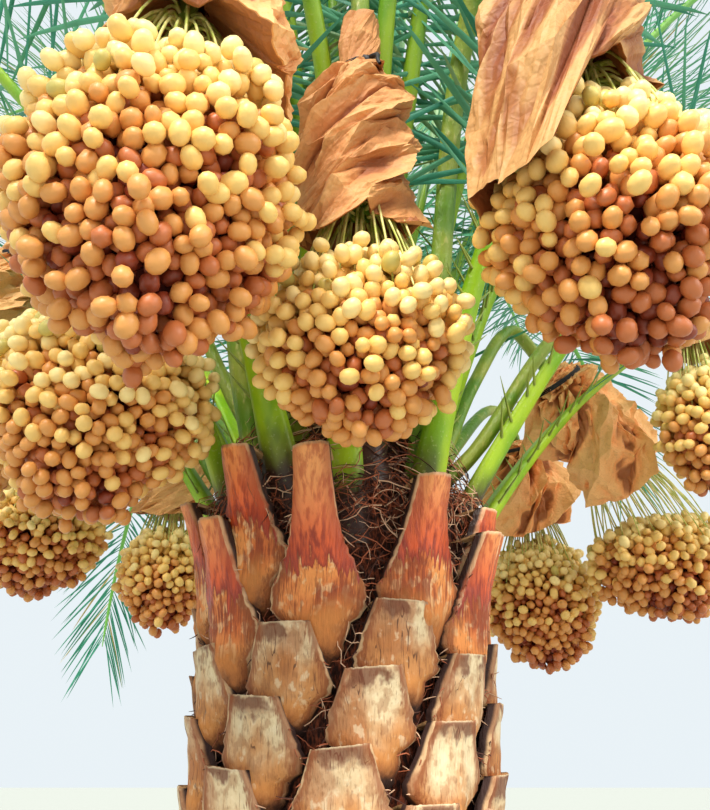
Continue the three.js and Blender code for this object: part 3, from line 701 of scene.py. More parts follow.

# The dates: smooth egg-shaped fruit, packed in loose layers round a dark middle body that is painted shade
# inside the bunch. Most are gold and a few still greenish at the top of a bunch; those below and inside
# are dealt deeper colours as painted shade.
DATE_HALF = (0.0126, 0.0152)
DATE_ROOM = 0.0245
LAYER_AREAS = (0.00100, 0.00086, 0.00120)
LAYER_DEPTHS = (0.0, 0.022, 0.044)
SHADE_DEPTH = 0.058
PUSHES = 14
NEAR_BUNCHES = ("front_left", "low_left", "front", "front_right", "right")
# Painted light: bunches that lie in the shade of others are dealt paler dates
PAINTED_LIGHT_LIFT = {"low_left": 0.14, "front": 0.08}
DATE_COLOURS = {
    "pale_date": "FFE298",
    "gold_date": "F5C872",
    "deep_date": "DE984E",
    "amber_date": "C06A36",
    "brown_date": "8C381C",
    "green_date": "C9B862",
}
DEEPER_FROM = (0.28, 0.56, 0.78, 1.0)  # the mood from which a date is gold, deep, amber or brown
GREEN = list(DATE_COLOURS).index("green_date")
date_finishes = []
for name, colour in DATE_COLOURS.items():
    finish = Finish(name, coat_roughness=0.35)
    bloom = finish.noise(70, 3)
    finish.colour(colour)
    finish.rough(0.38 + bloom * 0.2)
    finish.join(finish.shader.inputs["Coat Weight"], bloom * 0.3)
    finish.bump(bloom, 0.0015)
    date_finishes.append(finish)
shade_finish = Finish("bunch_shade", roughness=1)
shade_finish.colour(shade_finish.blend(shade_finish.noise(30, 2), "300A05", "661C0C"))


def date_shape(sides, bands):
    """An egg along +Z with its narrow end up: its points, quads and end triangles."""
    t = np.linspace(0, 1, bands + 1)[1:-1, None]
    turn = 2 * math.pi * np.arange(sides)[None, :] / sides
    ring = np.sin(math.pi * t) ** 0.9 * (1 - 0.10 * (t - 0.5)) * DATE_HALF[0]
    rise = -np.cos(math.pi * t) * DATE_HALF[1] + 0 * turn
    rings = np.stack([ring * np.cos(turn), ring * np.sin(turn), rise], axis=-1).reshape(-1, 3)
    low, high = len(rings), len(rings) + 1
    points = np.vstack([rings, [[0, 0, -DATE_HALF[1]], [0, 0, DATE_HALF[1]]]])
    last = (bands - 2) * sides
    caps = [[(k + 1) % sides, k, low] for k in range(sides)]
    caps += [[last + k, last + (k + 1) % sides, high] for k in range(sides)]
    return points, grid_faces(bands - 1, sides, True), np.array(caps)


def spaced(points, centre, radii, shares):
    """Pushes dates apart until each has its room, and keeps each near its own depth in the bunch."""
    for _ in range(PUSHES):
        apart = points[:, None] - points[None]
        gap = np.linalg.norm(apart, axis=-1) + np.eye(len(points))
        push = np.clip(DATE_ROOM - gap, 0, None) / gap
        points = points + 0.3 * np.einsum("ij,ijk->ik", push, apart)
        scaled = (points - centre) / radii
        size = np.linalg.norm(scaled, axis=1, keepdims=True)
        points = centre + scaled / size * np.minimum(mixed(size, shares, 0.35), 1.07) * radii
    return points


def add_dates(gathered, points, axes, scales, paints, shape):
    """Copies of the egg at the points, each turned to its own axis."""
    eggs, quads, caps = shape
    side = unit(np.cross(axes, (0.3, 0.2, 0.93)))
    third = np.cross(axes, side)
    frames = np.stack([side, third, axes], axis=1) * scales[:, None, None]
    placed = points[:, None] + np.einsum("pk,nkc->npc", eggs, frames)
    gathered.add_copies(placed, quads, caps, paints)


NEAR_EGGS = (date_shape(9, 6), date_shape(6, 5), date_shape(5, 4))
FAR_EGGS = (date_shape(6, 5), date_shape(5, 4), date_shape(4, 3))
for order, (name, (_, at, half, _, _)) in enumerate(BUNCHES.items()):
    draw = np.random.default_rng(70 + order)
    at = np.array(at)
    radii = np.array(half) - 0.016
    area = 4 * math.pi * np.mean(radii) ** 2
    counts = [int(area / room) for room in LAYER_AREAS]
    way = np.vstack([even_directions(count) for count in counts])
    way = unit(way + draw.normal(0, 0.06, way.shape))
    # Fuller at the shoulders, narrower below, and lumpy where the strands part
    lumps = 0.08 * ripple(way[:, 0] * 4, way[:, 2] * 4 + way[:, 1] * 3, order + 90)
    lumps = lumps + 0.05 * ripple(way[:, 0] * 9, way[:, 2] * 9 + way[:, 1] * 8, order + 120)
    taper = 0.15 * np.clip(-way[:, 2] * 1.2, 0, 1) ** 1.5 * (1 - way[:, 2] ** 4)
    depth = np.repeat(LAYER_DEPTHS, counts) / np.mean(radii)
    loose = draw.uniform(0, 0.10, len(way)) - 0.07 * (draw.uniform(0, 1, len(way)) < 0.14)
    shares = (1 + lumps - taper - depth - loose)[:, None]
    points = spaced(at + way * radii * shares, at, radii, shares)
    out = unit((points - at) / radii**2)
    axes = unit(out + draw.normal(0, 0.6, out.shape))
    scales = draw.normal(1, 0.07, len(points))
    # Painted light and shade: dates higher up get paler colours, and those lower down and further in deeper
    # ones
    high = (points[:, 2] - at[2]) / half[2]
    size = np.linalg.norm((points - at) / radii, axis=1)
    sunk = np.clip(1 + lumps - taper - size, 0, 1) * np.mean(radii)
    sunk = sunk * (1 - 0.5 * np.clip(high * 2, 0, 1))
    # The mood mixes painted light and shade from height and depth, painted light for bunches in others'
    # shade, and a random tone
    mood = 0.35 - 0.46 * high + 12 * sunk - PAINTED_LIGHT_LIFT.get(name, 0) + draw.normal(0, 0.08, len(points))
    greenish = (high > 0.2) & (draw.uniform(0, 1, len(points)) < 0.05) & (mood < 0.6)
    paints = np.where(greenish, GREEN, np.searchsorted(DEEPER_FROM, mood, side="right"))
    dates = Joined()
    layer = np.repeat([0, 1, 2], counts)
    # Below, the bunch is more open
    kept = (layer > 0) | (draw.uniform(0, 1, len(points)) > 0.22 * np.clip(-high, 0, 1))
    for k, egg in enumerate(NEAR_EGGS if name in NEAR_BUNCHES else FAR_EGGS):
        part = kept & (layer == k)
        add_dates(dates, points[part], axes[part], scales[part], paints[part], egg)
    dates.piece("dates_" + name, "fruit", ["bunch_" + name], date_finishes)
    middle = Joined()
    eggs, quads, _ = date_shape(20, 14)
    middle.add(at + eggs / DATE_HALF[1] * (radii - SHADE_DEPTH), quads)
    middle.piece("shade_" + name, "fruit", ["bunch_" + name], [shade_finish])

# The paper wraps: a kraft paper bag was put over each bunch, and is now pushed up its stalk and tied round
# it with black string, so that it hangs crumpled and open over the strands.
# Each wrap has its length and radius, and these: a flap that hangs down on the left or on the right
# (negative), how far the near hem hangs down, the waist's place and share of the radius, how full the
# paper is below it, how far the folds wind, how many and how deep they are, how crumpled the paper is, how
# many facets it has round it and along it, how far its mouth swings to the right, and how much painted light
# lifts or lowers its colour for the light or shade it hangs in.
Wrap = namedtuple(
    "Wrap",
    "length radius flap dip waist tied full spiral folds depth loose facets swing light",
    defaults=(0, 0, 0.14, 0.34, 1, 0.4, 6, 0.26, 0.35, (12, 5), 0, 0.5),
)
WRAPS = {
    "front_left": Wrap(0.43, 0.135, -0.06, -0.03, 0.14, 0.34, 1, 0.1, 5, 0.34, 0.30, (15, 7), 0.035, 0.6),
    "low_left": Wrap(0.33, 0.10, spiral=0.3, depth=0.30, loose=0.30),
    "front": Wrap(0.50, 0.098, 0.02, 0, 0.27, 0.36, 0.25, 0.7, 5, 0.62, 0.20, (15, 8)),
    "front_right": Wrap(0.47, 0.13, 0.15, 0.045, 0.14, 0.34, 1, 0.3, 5, 0.34, 0.26, (15, 6), -0.029, -0.1),
    "right": Wrap(0.15, 0.08, spiral=0.1, depth=0.20, loose=0.30, facets=(12, 3)),
    "back_right_out": Wrap(0.34, 0.14, 0, 0, 0.08, 0.50, 1, 0.1, 3, 0.24, 0.70, (11, 4), light=1),
    "back_right_in": Wrap(0.27, 0.135, 0, 0, 0.08, 0.50, 1, 0.1, 3, 0.24, 0.70, (11, 3), light=1),
    "back": Wrap(0.30, 0.11),
    "back_left_in": Wrap(0.29, 0.105),
    "back_left_out": Wrap(0.30, 0.11, spiral=0.3, loose=0.38),
    "left": Wrap(0.30, 0.105),
}
LARGE_WRAPS = ("front_left", "front", "front_right", "back_right_out", "back_right_in")
WRAP_HANG = 0.038
WRAP_TOP = 0.42
BELOW_WAIST = ((0.12, 0.53), (0.256, 0.74), (0.48, 0.92), (0.674, 1), (0.86, 0.98), (1, 0.92))
INSIDE = ((0, 0.98), (0.01, 0.9), (0.1, 0.68), (0.2, 0.42), (0.26, 0.2))
# Painted shade: the inside of the bag takes a low mark, which the paper colours as a dark valley
INSIDE_PAINTED_SHADE = 0.2
PLEAT_RISE = 0.7  # of a pleat's width
PLEAT_FALL = 0.3
SEAM = 1.85
SEAM_WIDTH = 0.12
FACET = 0.35
CRUMPLES = (0.14, 0.08, 0.035)
REACHES = (-7, -3, 3, 7)
RELIEF = 46


def wrap_points(name, at, full, angle):
    """The middles and the points of a wrap's rings: their places along it, sizes and angles."""
    foot, down, side = stalk_lines[name]
    middle = foot + down * WRAP_HANG - down * WRAPS[name].length * (1 - at)[..., None]
    out = side * np.cos(angle)[..., None] + np.cross(side, down) * np.sin(angle)[..., None]
    return middle, middle + out * (WRAPS[name].radius * full)[..., None]


def pleated(name, order, draw):
    """The corners of a wrap's large flat facets, the middles of its rings, and how far below the waist."""
    wrap = WRAPS[name]
    waist = wrap.waist
    columns, rows = wrap.facets
    tie = [-0.03, 0, waist / 2, waist - 0.02, waist + 0.02]
    at = np.append(tie, mixed(waist, 1, np.linspace(0.05, 1, rows)))[:, None]
    free = np.clip((at - waist) / (1 - waist), 0, 1)
    place = (np.arange(columns) + 0.32 * draw.uniform(-1, 1, (len(at), columns))) / columns
    at = at + 0.3 / rows * draw.uniform(-1, 1, place.shape) * (free > 0) * (free < 1)
    angle = 2 * math.pi * (place - wrap.spiral * at)
    # Pleats: each rises slowly and falls back under itself, and they wind down round the wrap
    wound = wrap.folds * place
    phase = wound % 1
    pleat = np.where(phase < PLEAT_RISE, phase / PLEAT_RISE, (1 - phase) / PLEAT_FALL) - 0.5
    pleat = pleat * (0.75 + 0.35 * chance(np.floor(wound) % wrap.folds, order + 0.5))
    paper = wrap.depth * pleat * np.interp(free, [0, 0.05, 0.25, 0.7, 1], [0.35, 0.8, 1, 0.8, 0.65])
    # The corners of flat facets stand in and out, and a slit shows where the bag's two edges overlap
    stiff = wrap.loose * np.interp(free, [0, 0.1, 0.3], [0.3, 0.7, 1])
    paper = paper + FACET * stiff * np.clip(draw.normal(0, 1, place.shape), -2, 2)
    beside = (angle - SEAM + math.pi) % (2 * math.pi) - math.pi
    paper = paper - 0.3 * np.exp(-((beside / SEAM_WIDTH) ** 2)) * np.clip((free - 0.3) * 3, 0, 1)
    knots = tie + [mixed(waist, 1, k) for k, _ in BELOW_WAIST]
    sizes = [0.14, WRAP_TOP - 0.04, WRAP_TOP, wrap.tied, wrap.tied - 0.01]
    sizes += [size**wrap.full for _, size in BELOW_WAIST]
    calm = np.interp(np.abs(at - waist), [0, 0.03, 0.09], [0.25, 0.5, 1])
    full = np.interp(at, knots, sizes) * (1 + paper * calm)
    edge_drop = 0.05 * ripple(3 * np.cos(angle), 3 * np.sin(angle), order + 400) * np.clip(at, 0, 1) ** 5
    slump = 0.09 * wrap.depth * pleat * np.clip(free * 4, 0, 1)
    middle, points = wrap_points(name, at + edge_drop + slump, full, angle)
    return hung(points, middle, np.clip(at, 0, 1), wrap), middle, free


def hung(points, middle, level, wrap):
    """The points once the flap has dropped, the near hem has sunk and the mouth has swung aside."""
    flap, size = wrap.flap, abs(wrap.flap)
    beyond = np.sign(flap) * (middle[..., 0] - points[..., 0]) / wrap.radius
    share = np.clip((beyond - 0.05) / 0.5, 0, 1)
    push = ((3 - 2 * share) * share**2 * level**3)[..., None]
    drop = push * (1 - 0.6 * np.clip(beyond - 0.7, 0, 0.6))[..., None]
    near = np.clip((middle[..., 1] - points[..., 1]) / wrap.radius, 0, 1) * level**4
    points = points - push * (0.3 * flap, 0.55 * size, 0) - drop * (0, 0, 1.5 * size)
    points = points - near[..., None] * (0, 0, wrap.dip)
    return points + (wrap.swing * level**2)[..., None] * (1, 0, 0)


def halved(corners):
    """A closed grid with each cell divided in two each way, flat along its two triangles."""
    after = np.roll(corners, -1, axis=1)
    finer = np.empty((2 * len(corners) - 1, 2 * corners.shape[1], 3))
    finer[::2, ::2] = corners
    finer[::2, 1::2] = (corners + after) / 2
    finer[1::2, ::2] = (corners[:-1] + corners[1:]) / 2
    finer[1::2, 1::2] = (after[:-1] + corners[1:]) / 2
    return finer


def crumpled(points, middle, free, name, draw):
    """The facets broken into smaller ones, with the middles of the rings and the ways out from them."""
    wrap = WRAPS[name]
    tight = np.interp(free, [0, 0.04, 0.3, 0.5], [0.3, 1.5, 1.3, 1])
    tight = np.broadcast_to(tight[..., None], points.shape)
    for crumple in CRUMPLES if name in LARGE_WRAPS else CRUMPLES[:2]:
        points, middle, tight = halved(points), halved(middle), halved(tight)
        out = unit(points - middle)
        spread = crumple * wrap.loose * wrap.radius * tight
        points = points + out * spread * np.clip(draw.normal(0, 1, points.shape[:2]), -2, 2)[..., None]
        points = points + 0.3 * spread * draw.normal(0, 1, points.shape)
    return points, middle, out


def relief(points, out):
    """How far each point of a closed grid stands above those round it, to paint highlights on its ridges and
    shade in its valleys.
    """
    rows = np.arange(len(points))
    blurred = sum(np.roll(points, k, axis=1) for k in REACHES)
    blurred = blurred + sum(points[np.clip(rows + k, 0, len(rows) - 1)] for k in REACHES)
    above = np.sum((points - blurred / (2 * len(REACHES))) * out, axis=-1)
    return np.clip(0.5 + RELIEF * above, 0, 1)


kraft = Finish("kraft_paper", roughness=0.62)
fold = kraft.mark("fold")
light = kraft.mark("light")
pulp = kraft.noise(220, 3)
cloudy = kraft.noise(11, 3)
cell, small_cell = (
    kraft.node("TexVoronoi", {"feature": "DISTANCE_TO_EDGE"}, {"Vector": kraft.place(), "Scale": scale})
    for scale in (20, 60)
)
crinkle = cell.between(0, 0.35) + small_cell.between(0, 0.3) * 0.4
kraft.colour(
    kraft.coats(
        # The paper's own cloudy tone, lifted or lowered by each wrap's painted light
        kraft.blend(light + cloudy.swing(0.6), "9A5C28", "FFB674"),
        # Painted shade in the valleys and painted highlights on the ridges
        (fold.between(0.5, 0.12) * 0.75, "7E3512"),
        (fold.between(0.6, 1.0) * 0.4, "F4C884"),
        (pulp.between(0.5, 0.75) * 0.25, "A8682F"),
    )
)
kraft.rough(0.55 + pulp * 0.2)
kraft.bump(crinkle + pulp * 0.2 + cloudy * 2, 0.0016)
for order, name in enumerate(WRAPS):
    draw = np.random.default_rng(order + 500)
    points, middle, out = crumpled(*pleated(name, order, draw), name, draw)
    height, shrink = np.array(INSIDE).T[..., None, None]
    down = stalk_lines[name][1]
    inside = middle[-1] - down * WRAPS[name].length * height + (points[-1] - middle[-1]) * shrink
    # The ridges and valleys are marked for painted highlights and shade, and the inside of the bag for
    # painted shade
    marks = np.vstack([relief(points, out), np.full((len(inside), points.shape[1]), INSIDE_PAINTED_SHADE)])
    points = np.vstack([points, inside])
    faces = grid_faces(*points.shape[:2], True)[:, [0, 1, 3, 1, 2, 3]].reshape(-1, 3)
    paper = Joined()
    paper.add(points, faces, fold=marks, light=WRAPS[name].light)
    paper.piece("paper_wrap_" + name, "wrap", ["wrap_" + name], [kraft], smooth=False)

# The ties: black string, wound three times round the waist of each wrap and knotted, with a loose end
# that hangs below the knot.
STRING_THICKNESS = 0.0026
STRING_TURNS = 3
STRING_START = 1.8
COIL_RISE = 0.035
TAIL_LENGTH = 0.06
TAIL_THICKNESS = (0.005, 0.0032)
KNOT_LINE = np.array([[-0.012, 0, 0], [-0.005, -0.004, 0], [0.006, -0.004, -0.004], [0.012, 0, -0.01]])
KNOT_THICKNESS = np.array([0.004, 0.011, 0.010, 0.004])
string = Finish("black_string", roughness=0.6)
string.colour(string.blend(string.noise(400, 2), "0C0B10", "2B2A33"))
ties = Joined()
for name, wrap in WRAPS.items():
    t = np.linspace(0, 1, 40)
    spread = wrap.tied + 0.05 + 0.02 * np.sin(t * 40)
    turn = 2 * math.pi * STRING_TURNS * t + STRING_START
    middles, coil = wrap_points(name, wrap.waist - 0.015 + COIL_RISE * t, spread, turn)
    knot = coil[-1]
    t = np.linspace(0, 1, 12)[:, None]
    away = 0.05 * t**0.5 * unit(knot - middles[-1])
    tail = knot + away + (0.012, 0, -TAIL_LENGTH) * t**1.5 + 0.006 * np.sin(5 * t) * (1, 0.3, 0)
    add_tubes(ties, coil[None], STRING_THICKNESS, 5)
    add_tubes(ties, tail[None], np.linspace(*TAIL_THICKNESS, len(tail)), 5)
    add_tubes(ties, (knot + KNOT_LINE)[None], KNOT_THICKNESS, 6)
ties.piece("wrap_ties", "wrap", ["wrap_" + name for name in WRAPS], [string])

# The fronds: a stiff green rib, broad and keeled at its foot, with a row of folded leaflets on each side
# and long spines below them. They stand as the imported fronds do.
FIRST_FROND = FIRST_LONG_STUB + len(LONG_CUTS)
FROND_COUNT = 28
SPEAR_COUNT = 6
BENT_FRONDS = range(1, 9)
WHOLE_FRONDS = range(9, FROND_COUNT + 1)
BARE_SHARE = 0.19
RIB_WIDTH = 0.040
RIB_TIP_WIDTH = 0.012
RIB_DEPTH = 0.68  # of its width
RIB_FOOT_SPREAD = 0.5
RIB_STEPS = 60
LIFTS = range(-4, 48, 4)
SWAYS = range(-40, 45, 5)
LEAFLET_LENGTH = 0.5
SHORTEST_LEAFLET = 0.08
LEAFLET_PAIRS = 104
LEAFLET_WIDTH = 0.0125
LEAFLET_FORWARD = (68, 24)
SPINE_PAIRS = 9
FRUIT_CLEARANCE = 0.012


def frond_shape(n):
    youth = (n - FIRST_FROND) / (FROND_COUNT + SPEAR_COUNT - 1)
    elevation = 53 + 31 * youth**0.8
    bend = 26 + 104 * (1 - youth) ** 1.1
    length = 3.15 + 0.35 * math.sin(math.pi * youth) - 0.55 * youth
    return elevation, bend, length, mixed(0.090, 0.044, youth)


def rib_line(n, lift, sway):
    """The rib's points, directions and sides. It turns down slowly at first and faster at its tip."""
    turn, radius, height = leaf_seat(n)
    elevation, bend, length, _ = frond_shape(n)
    share = np.arange(RIB_STEPS + 1) / RIB_STEPS
    slope = np.radians(elevation + lift - (bend + lift) * share**1.4)
    azimuth = turn + sway * np.minimum(1, 2.2 * share)
    along = polar(azimuth, np.cos(slope), np.sin(slope))
    steps = np.vstack([[0, 0, 0], along[:-1] * length / RIB_STEPS])
    return polar(turn, radius - 0.03, height) + np.cumsum(steps, axis=0), along, polar(azimuth - 90, 1, 0)


def standing_rib(n):
    """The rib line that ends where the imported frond's own rib does."""
    name = "frond_%02d" % (n - FIRST_FROND + 1)
    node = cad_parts.get(name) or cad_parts[name + "_outer"]
    corners = np.array([v.co for v in node.data.vertices])

    def miss(choice):
        tip = rib_line(n, *choice)[0][-1]
        return np.min(np.linalg.norm(corners - tip, axis=1))

    return rib_line(n, *min([(lift, sway) for lift in LIFTS for sway in SWAYS], key=miss))


def on_line(line, share):
    """The line's points, directions and sides at shares of its length."""
    place = np.clip(share, 0, 1) * RIB_STEPS
    first = np.minimum(place.astype(int), RIB_STEPS - 1)
    return [mixed(values[first], values[first + 1], (place - first)[..., None]) for values in line]


def rib_width(n, share):
    bare = np.minimum(share / BARE_SHARE, 1)
    beyond = np.clip((share - BARE_SHARE) / (1 - BARE_SHARE), 0, 1)
    foot = mixed(frond_shape(n)[3], RIB_WIDTH, bare**0.7)
    return np.where(share < BARE_SHARE, foot, mixed(RIB_WIDTH, RIB_TIP_WIDTH, beyond))


def clear_of_fruit(points):
    """Whether each point is outside every bunch and wrap."""
    clear = np.ones(points.shape[:-1], bool)
    for name, (_, at, half, _, _) in BUNCHES.items():
        foot, down, _ = stalk_lines[name]
        clear &= np.sum(((points - at) / (np.array(half) + FRUIT_CLEARANCE)) ** 2, axis=-1) > 1
        above = np.sum((foot - points) * down, axis=-1)
        aside = np.linalg.norm(foot - points - above[..., None] * down, axis=-1)
        clear &= (above < -0.05) | (above > WRAPS[name].length) | (aside > WRAPS[name].radius * 1.1)
    return clear


LEAF_COLOURS = {
    "deep_leaf": "308A6C",
    "leaf": "54A27A",
    "light_leaf": "8AB47C",
    "dry_leaf": "B8A258",
}
LIGHTER_FROM = (0.38, 0.78)  # the mood from which a leaflet has the second colour, and the third
LEAF, LIGHT, DRY = 1, 2, 3
leaf_finishes = []
for name, colour in LEAF_COLOURS.items():
    finish = Finish(name)
    ribbing = finish.noise(60, 2)
    finish.colour(colour)
    finish.rough(0.42 + ribbing * 0.25)
    finish.bump(ribbing, 0.001)
    leaf_finishes.append(finish)
BLADE_AT = np.array([0, 0.14, 0.5, 0.82, 1])
BLADE_WIDE = np.array([0.4, 0.85, 1, 0.6])
BLADE_FACES = grid_faces(4, 3)
BLADE_TIP = np.array([[9, 10, 12], [10, 11, 12]])


def add_leaflets(gathered, roots, ways, lengths, lifts, widths, droops, paints):
    """Folded blades: each a shallow V along its own middle, straight or a little drooping, and pointed."""
    steps = BLADE_AT[None, :, None]
    reach = lengths[:, None, None] * steps
    line = roots[:, None] + ways[:, None] * reach - droops[:, None, None] * reach * steps * (0, 0, 1.0)
    side = unit(np.cross(ways, lifts))
    face = np.cross(side, ways)
    wide = widths[:, None, None] * BLADE_WIDE[None, :, None] / 2
    left = line[:, :4] - side[:, None] * wide + face[:, None] * wide * 0.5
    right = line[:, :4] + side[:, None] * wide + face[:, None] * wide * 0.5
    points = np.stack([left, line[:, :4], right], axis=2).reshape(len(roots), 12, 3)
    gathered.add_copies(np.concatenate([points, line[:, 4:]], axis=1), BLADE_FACES, BLADE_TIP, paints)


def add_leaflet_row(gathered, n, line, hand, draw):
    """The leaflets on one side of a frond, set in threes. They end short of fruit and paper."""
    index = np.arange(LEAFLET_PAIRS) + 0.5 + draw.uniform(-0.3, 0.3, LEAFLET_PAIRS)
    along_blade = index / LEAFLET_PAIRS
    at = mixed(BARE_SHARE, 0.995, along_blade**0.94)
    point, along, side = on_line(line, at)
    lift = np.cross(side, along)
    group = np.arange(LEAFLET_PAIRS) % 3 - 1
    forward = mixed(*LEAFLET_FORWARD, along_blade**1.3) + draw.normal(0, 4, LEAFLET_PAIRS) + 4 * group
    forward = np.radians(forward)[:, None]
    raised = np.radians(26 + 15 * group * (1 - along_blade) + draw.normal(0, 5, LEAFLET_PAIRS))[:, None]
    length = LEAFLET_LENGTH * (0.45 + 0.75 * np.sin(np.pi * (0.12 + 0.8 * along_blade)) ** 0.8)
    length = length * draw.uniform(0.8, 0.97, LEAFLET_PAIRS)
    way = along * np.cos(forward) + side * hand * (np.sin(forward) * np.cos(raised))
    way = unit(way + lift * (np.sin(forward) * np.sin(raised)))
    wide = rib_width(n, at)[:, None]
    root = point + side * (hand * 0.4 * wide) + lift * (0.1 * wide)
    probes = root[:, None] + way[:, None] * length[:, None, None] * np.linspace(0.1, 1, 10)[:, None]
    open_to = np.cumprod(clear_of_fruit(probes), axis=1).sum(axis=1) / 10
    length = length * np.where(open_to < 1, 0.95 * open_to, 1)
    facing = unit(lift + side * hand * -0.35 + draw.normal(0, 0.35, (LEAFLET_PAIRS, 1)) * along)
    width = LEAFLET_WIDTH * draw.uniform(0.85, 1.1, LEAFLET_PAIRS) * mixed(1, 0.6, along_blade**2)
    droop = draw.uniform(0.04, 0.14, LEAFLET_PAIRS)
    # Young fronds are lighter, and old ones have a few dry leaflets
    youth = (n - FIRST_FROND) / FROND_COUNT
    mood = draw.uniform(0, 1, LEAFLET_PAIRS) * 0.5 + youth * 0.6 + 0.12 * chance(n, 3)
    paints = np.searchsorted(LIGHTER_FROM, mood, side="right")
    paints = np.where(draw.uniform(0, 1, LEAFLET_PAIRS) < 0.03 * (1 - youth), DRY, paints)
    keep = length > SHORTEST_LEAFLET
    add_leaflets(gathered, *[v[keep] for v in (root, way, length, facing, width, droop, paints)])


def add_spine_row(gathered, n, line, hand, draw):
    """Spines, in place of leaflets, on one side of a frond's bare part."""
    at = np.linspace(0.35, 0.98, SPINE_PAIRS) * BARE_SHARE + draw.normal(0, 0.002, SPINE_PAIRS)
    point, along, side = on_line(line, at)
    lift = np.cross(side, along)
    slant = np.radians(draw.uniform(35, 60, SPINE_PAIRS))[:, None]
    way = along * np.cos(slant) + side * hand * np.sin(slant)
    way = unit(way + lift * draw.uniform(0.1, 0.7, (SPINE_PAIRS, 1)))
    root = point + side * (hand * 0.45 * rib_width(n, at))[:, None]
    length = draw.uniform(0.05, 0.11, (SPINE_PAIRS, 1))
    paths = root[:, None] + way[:, None] * length[:, None] * np.array([0, 0.5, 1])[:, None]
    add_tubes(gathered, paths, np.array([0.0035, 0.0022, 0.0004]), 4)


rib_finish = Finish("frond_rib", roughness=0.46)
reach = rib_finish.mark("reach")
streak = rib_finish.noise(14, 3, (1, 1, 0.3))
scurf = rib_finish.noise(160, 2)
rib_finish.colour(
    rib_finish.coats(
        rib_finish.blend(streak.between(0.35, 0.65), "7AAC0C", "A8C818"),
        (reach.between(0.2, 0.6), "6FB44A"),
        ((reach + streak.swing(0.06)).between(0.056, 0.022), "3A1A10"),
        (scurf.between(0.6, 0.75) * 0.3, "C6D08A"),
    )
)
rib_finish.bump(streak + scurf * 0.3, 0.002)
spine_finish = Finish("frond_spine", roughness=0.4)
spine_finish.colour(spine_finish.blend(spine_finish.noise(50, 2), "A9B23E", "5F7A2A"))

# The rib's section, round its keel and up to the groove between its two edges
RIB_SECTION = np.array(
    [
        *((-0.42, -0.12), (-0.2, -0.42), (0.2, -0.42), (0.42, -0.12)),
        *((0.5, 0.2), (0.3, 0.3), (0, 0.24), (-0.3, 0.3), (-0.5, 0.2)),
    ]
)
FROND_NODES = ["frond_%02d" % k for k in WHOLE_FRONDS]
FROND_NODES += ["frond_%02d%s" % (k, part) for k in BENT_FRONDS for part in ("_inner", "_outer")]
ribs = Joined()
spines = Joined()
low_leaflets = Joined()
high_leaflets = Joined()
for n in range(FIRST_FROND, FIRST_FROND + FROND_COUNT):
    draw = np.random.default_rng(n)
    line = standing_rib(n)
    share = np.concatenate([np.linspace(0, BARE_SHARE, 12), np.linspace(BARE_SHARE, 1, 25)[1:]])
    point, _, side = on_line(line, share)
    width = rib_width(n, share) * (1 + RIB_FOOT_SPREAD * np.exp(-share / 0.025))
    sizes = np.stack([width, RIB_DEPTH * rib_width(n, share)], axis=-1)
    sizes[-1] *= 0.3
    faces = grid_faces(len(share), len(RIB_SECTION), True)
    ribs.add(swept(point, side, RIB_SECTION, sizes), faces, reach=share[:, None])
    leaflets = low_leaflets if n < FIRST_FROND + FROND_COUNT // 2 else high_leaflets
    for hand in (-1, 1):
        add_leaflet_row(leaflets, n, line, hand, draw)
        add_spine_row(spines, n, line, hand, draw)
ribs.piece("frond_ribs", "frond", FROND_NODES, [rib_finish])
spines.piece("frond_spines", "frond", FROND_NODES, [spine_finish])
low_leaflets.piece("low_leaflets", "frond", FROND_NODES, leaf_finishes)
high_leaflets.piece("high_leaflets", "frond", FROND_NODES, leaf_finishes)

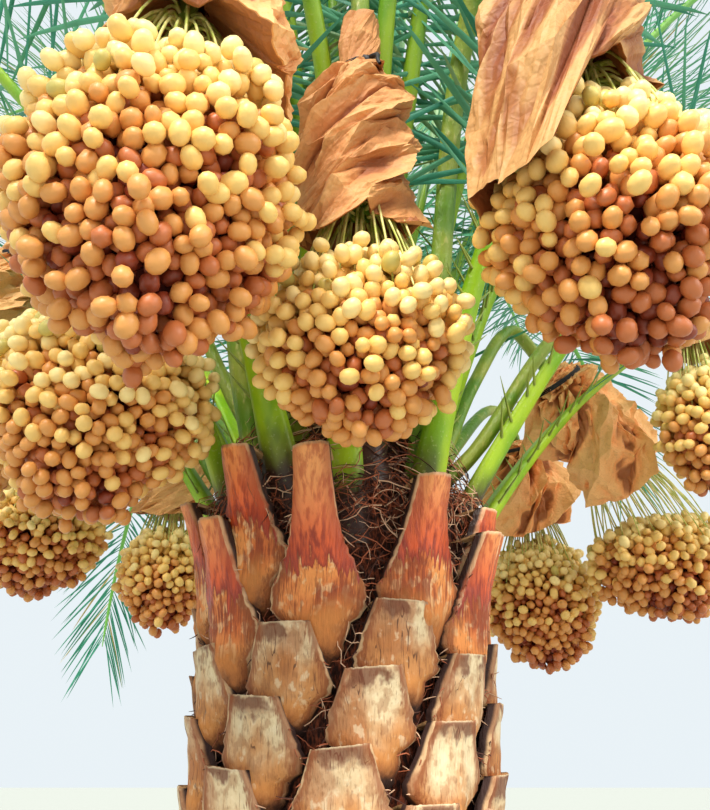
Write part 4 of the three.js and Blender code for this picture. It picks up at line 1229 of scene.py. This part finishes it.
# The spears: the youngest fronds, still folded up against their ribs and pale. They stand in the middle
# of the heart, each shorter and more upright than the last.
SPEAR_LENGTHS = (2.35, 1.5)
SPEAR_LEANS = (13, 4)
SPEAR_ROOT = HEART_TOP - 0.42
SPEAR_PAIRS = 70
SPEAR_LEAFLET = (0.42, 0.02)  # the most that one is long, and its width
SPEAR_STEPS = 24
spears = Joined()
spear_ribs = Joined()
for i in range(SPEAR_COUNT):
    n = FIRST_FROND + FROND_COUNT + i
    draw = np.random.default_rng(n)
    turn = FIRST_LEAF_TURN + n * LEAF_TURN
    length = mixed(*SPEAR_LENGTHS, i / (SPEAR_COUNT - 1))
    lean = math.radians(mixed(*SPEAR_LEANS, i / (SPEAR_COUNT - 1)))
    way = polar(turn, math.sin(lean), math.cos(lean))
    root = polar(turn, 0.046 - 0.006 * i, SPEAR_ROOT)
    side = polar(turn - 90, 1, 0)
    lift = np.cross(side, way)
    share = np.linspace(0, 0.92, SPEAR_STEPS)
    width = np.interp(share, [0, 0.3, 1], [0.05, 0.034, 0.008])
    sizes = np.stack([width, 0.7 * width], axis=-1)
    rows = swept(root + np.outer(share * length, way), side, RIB_SECTION, sizes)
    spear_ribs.add(rows, grid_faces(SPEAR_STEPS, len(RIB_SECTION), True), reach=0.3)
    at = mixed(0.25, 0.9, (np.arange(SPEAR_PAIRS) + 0.5) / SPEAR_PAIRS)
    for hand in (-1, 1):
        roots = root + np.outer(at * length, way) + side * hand * 0.006
        slant = draw.uniform(0.02, 0.10, (SPEAR_PAIRS, 1))
        ways = unit(way + side * hand * slant + lift * draw.normal(0.02, 0.03, (SPEAR_PAIRS, 1)))
        lengths = np.minimum(SPEAR_LEAFLET[0], (1 - at) * length) * draw.uniform(0.85, 1, SPEAR_PAIRS)
        facing = unit(side * hand + lift * 0.3)
        paints = np.where(draw.uniform(0, 1, SPEAR_PAIRS) < 0.6, LIGHT, LEAF)
        widths = np.full(SPEAR_PAIRS, SPEAR_LEAFLET[1])
        add_leaflets(spears, roots, ways, lengths, facing, widths, np.zeros(SPEAR_PAIRS), paints)
spear_ribs.piece("spear_ribs", "heart", ["heart"], [rib_finish])
spears.piece("spear_leaflets", "heart", ["heart"], leaf_finishes)

# The studio: a plain pale floor, soft light from the sky, a broad lamp from the camera's side and a weaker
# and wider one from the right.
SUNLIGHT = (1, 0.96, 0.88)
SKYLIGHT = (0.82, 0.89, 0.93, 1)
bpy.ops.mesh.primitive_plane_add(size=60)
floor = bpy.context.object
floor.name = "floor"
floor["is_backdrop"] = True
plain = Finish("floor", roughness=0.9)
plain.colour("A2A6A0")
floor.data.materials.append(plain.material)
for name, energy, spread, toward in (
    ("key_light", 5.6, 16, (0.2, 0.66, -0.72)),
    ("fill_light", 1.8, 40, (-0.75, 0.5, -0.42)),
):
    sun = bpy.data.objects.new(name, bpy.data.lights.new(name, "SUN"))
    sun.data.energy = energy
    sun.data.angle = math.radians(spread)
    sun.data.color = SUNLIGHT
    sun.rotation_euler = Vector(toward).to_track_quat("-Z", "Y").to_euler()
    bpy.context.collection.objects.link(sun)
sky = bpy.data.worlds.new("sky")
sky.use_nodes = True
sky.node_tree.nodes["Background"].inputs["Color"].default_value = SKYLIGHT
sky.node_tree.nodes["Background"].inputs["Strength"].default_value = 1.0
bpy.context.scene.world = sky
bpy.context.scene.view_settings.view_transform = "Standard"

visual_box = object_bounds()
sizes = {"cad": cad_box, "visual": visual_box}
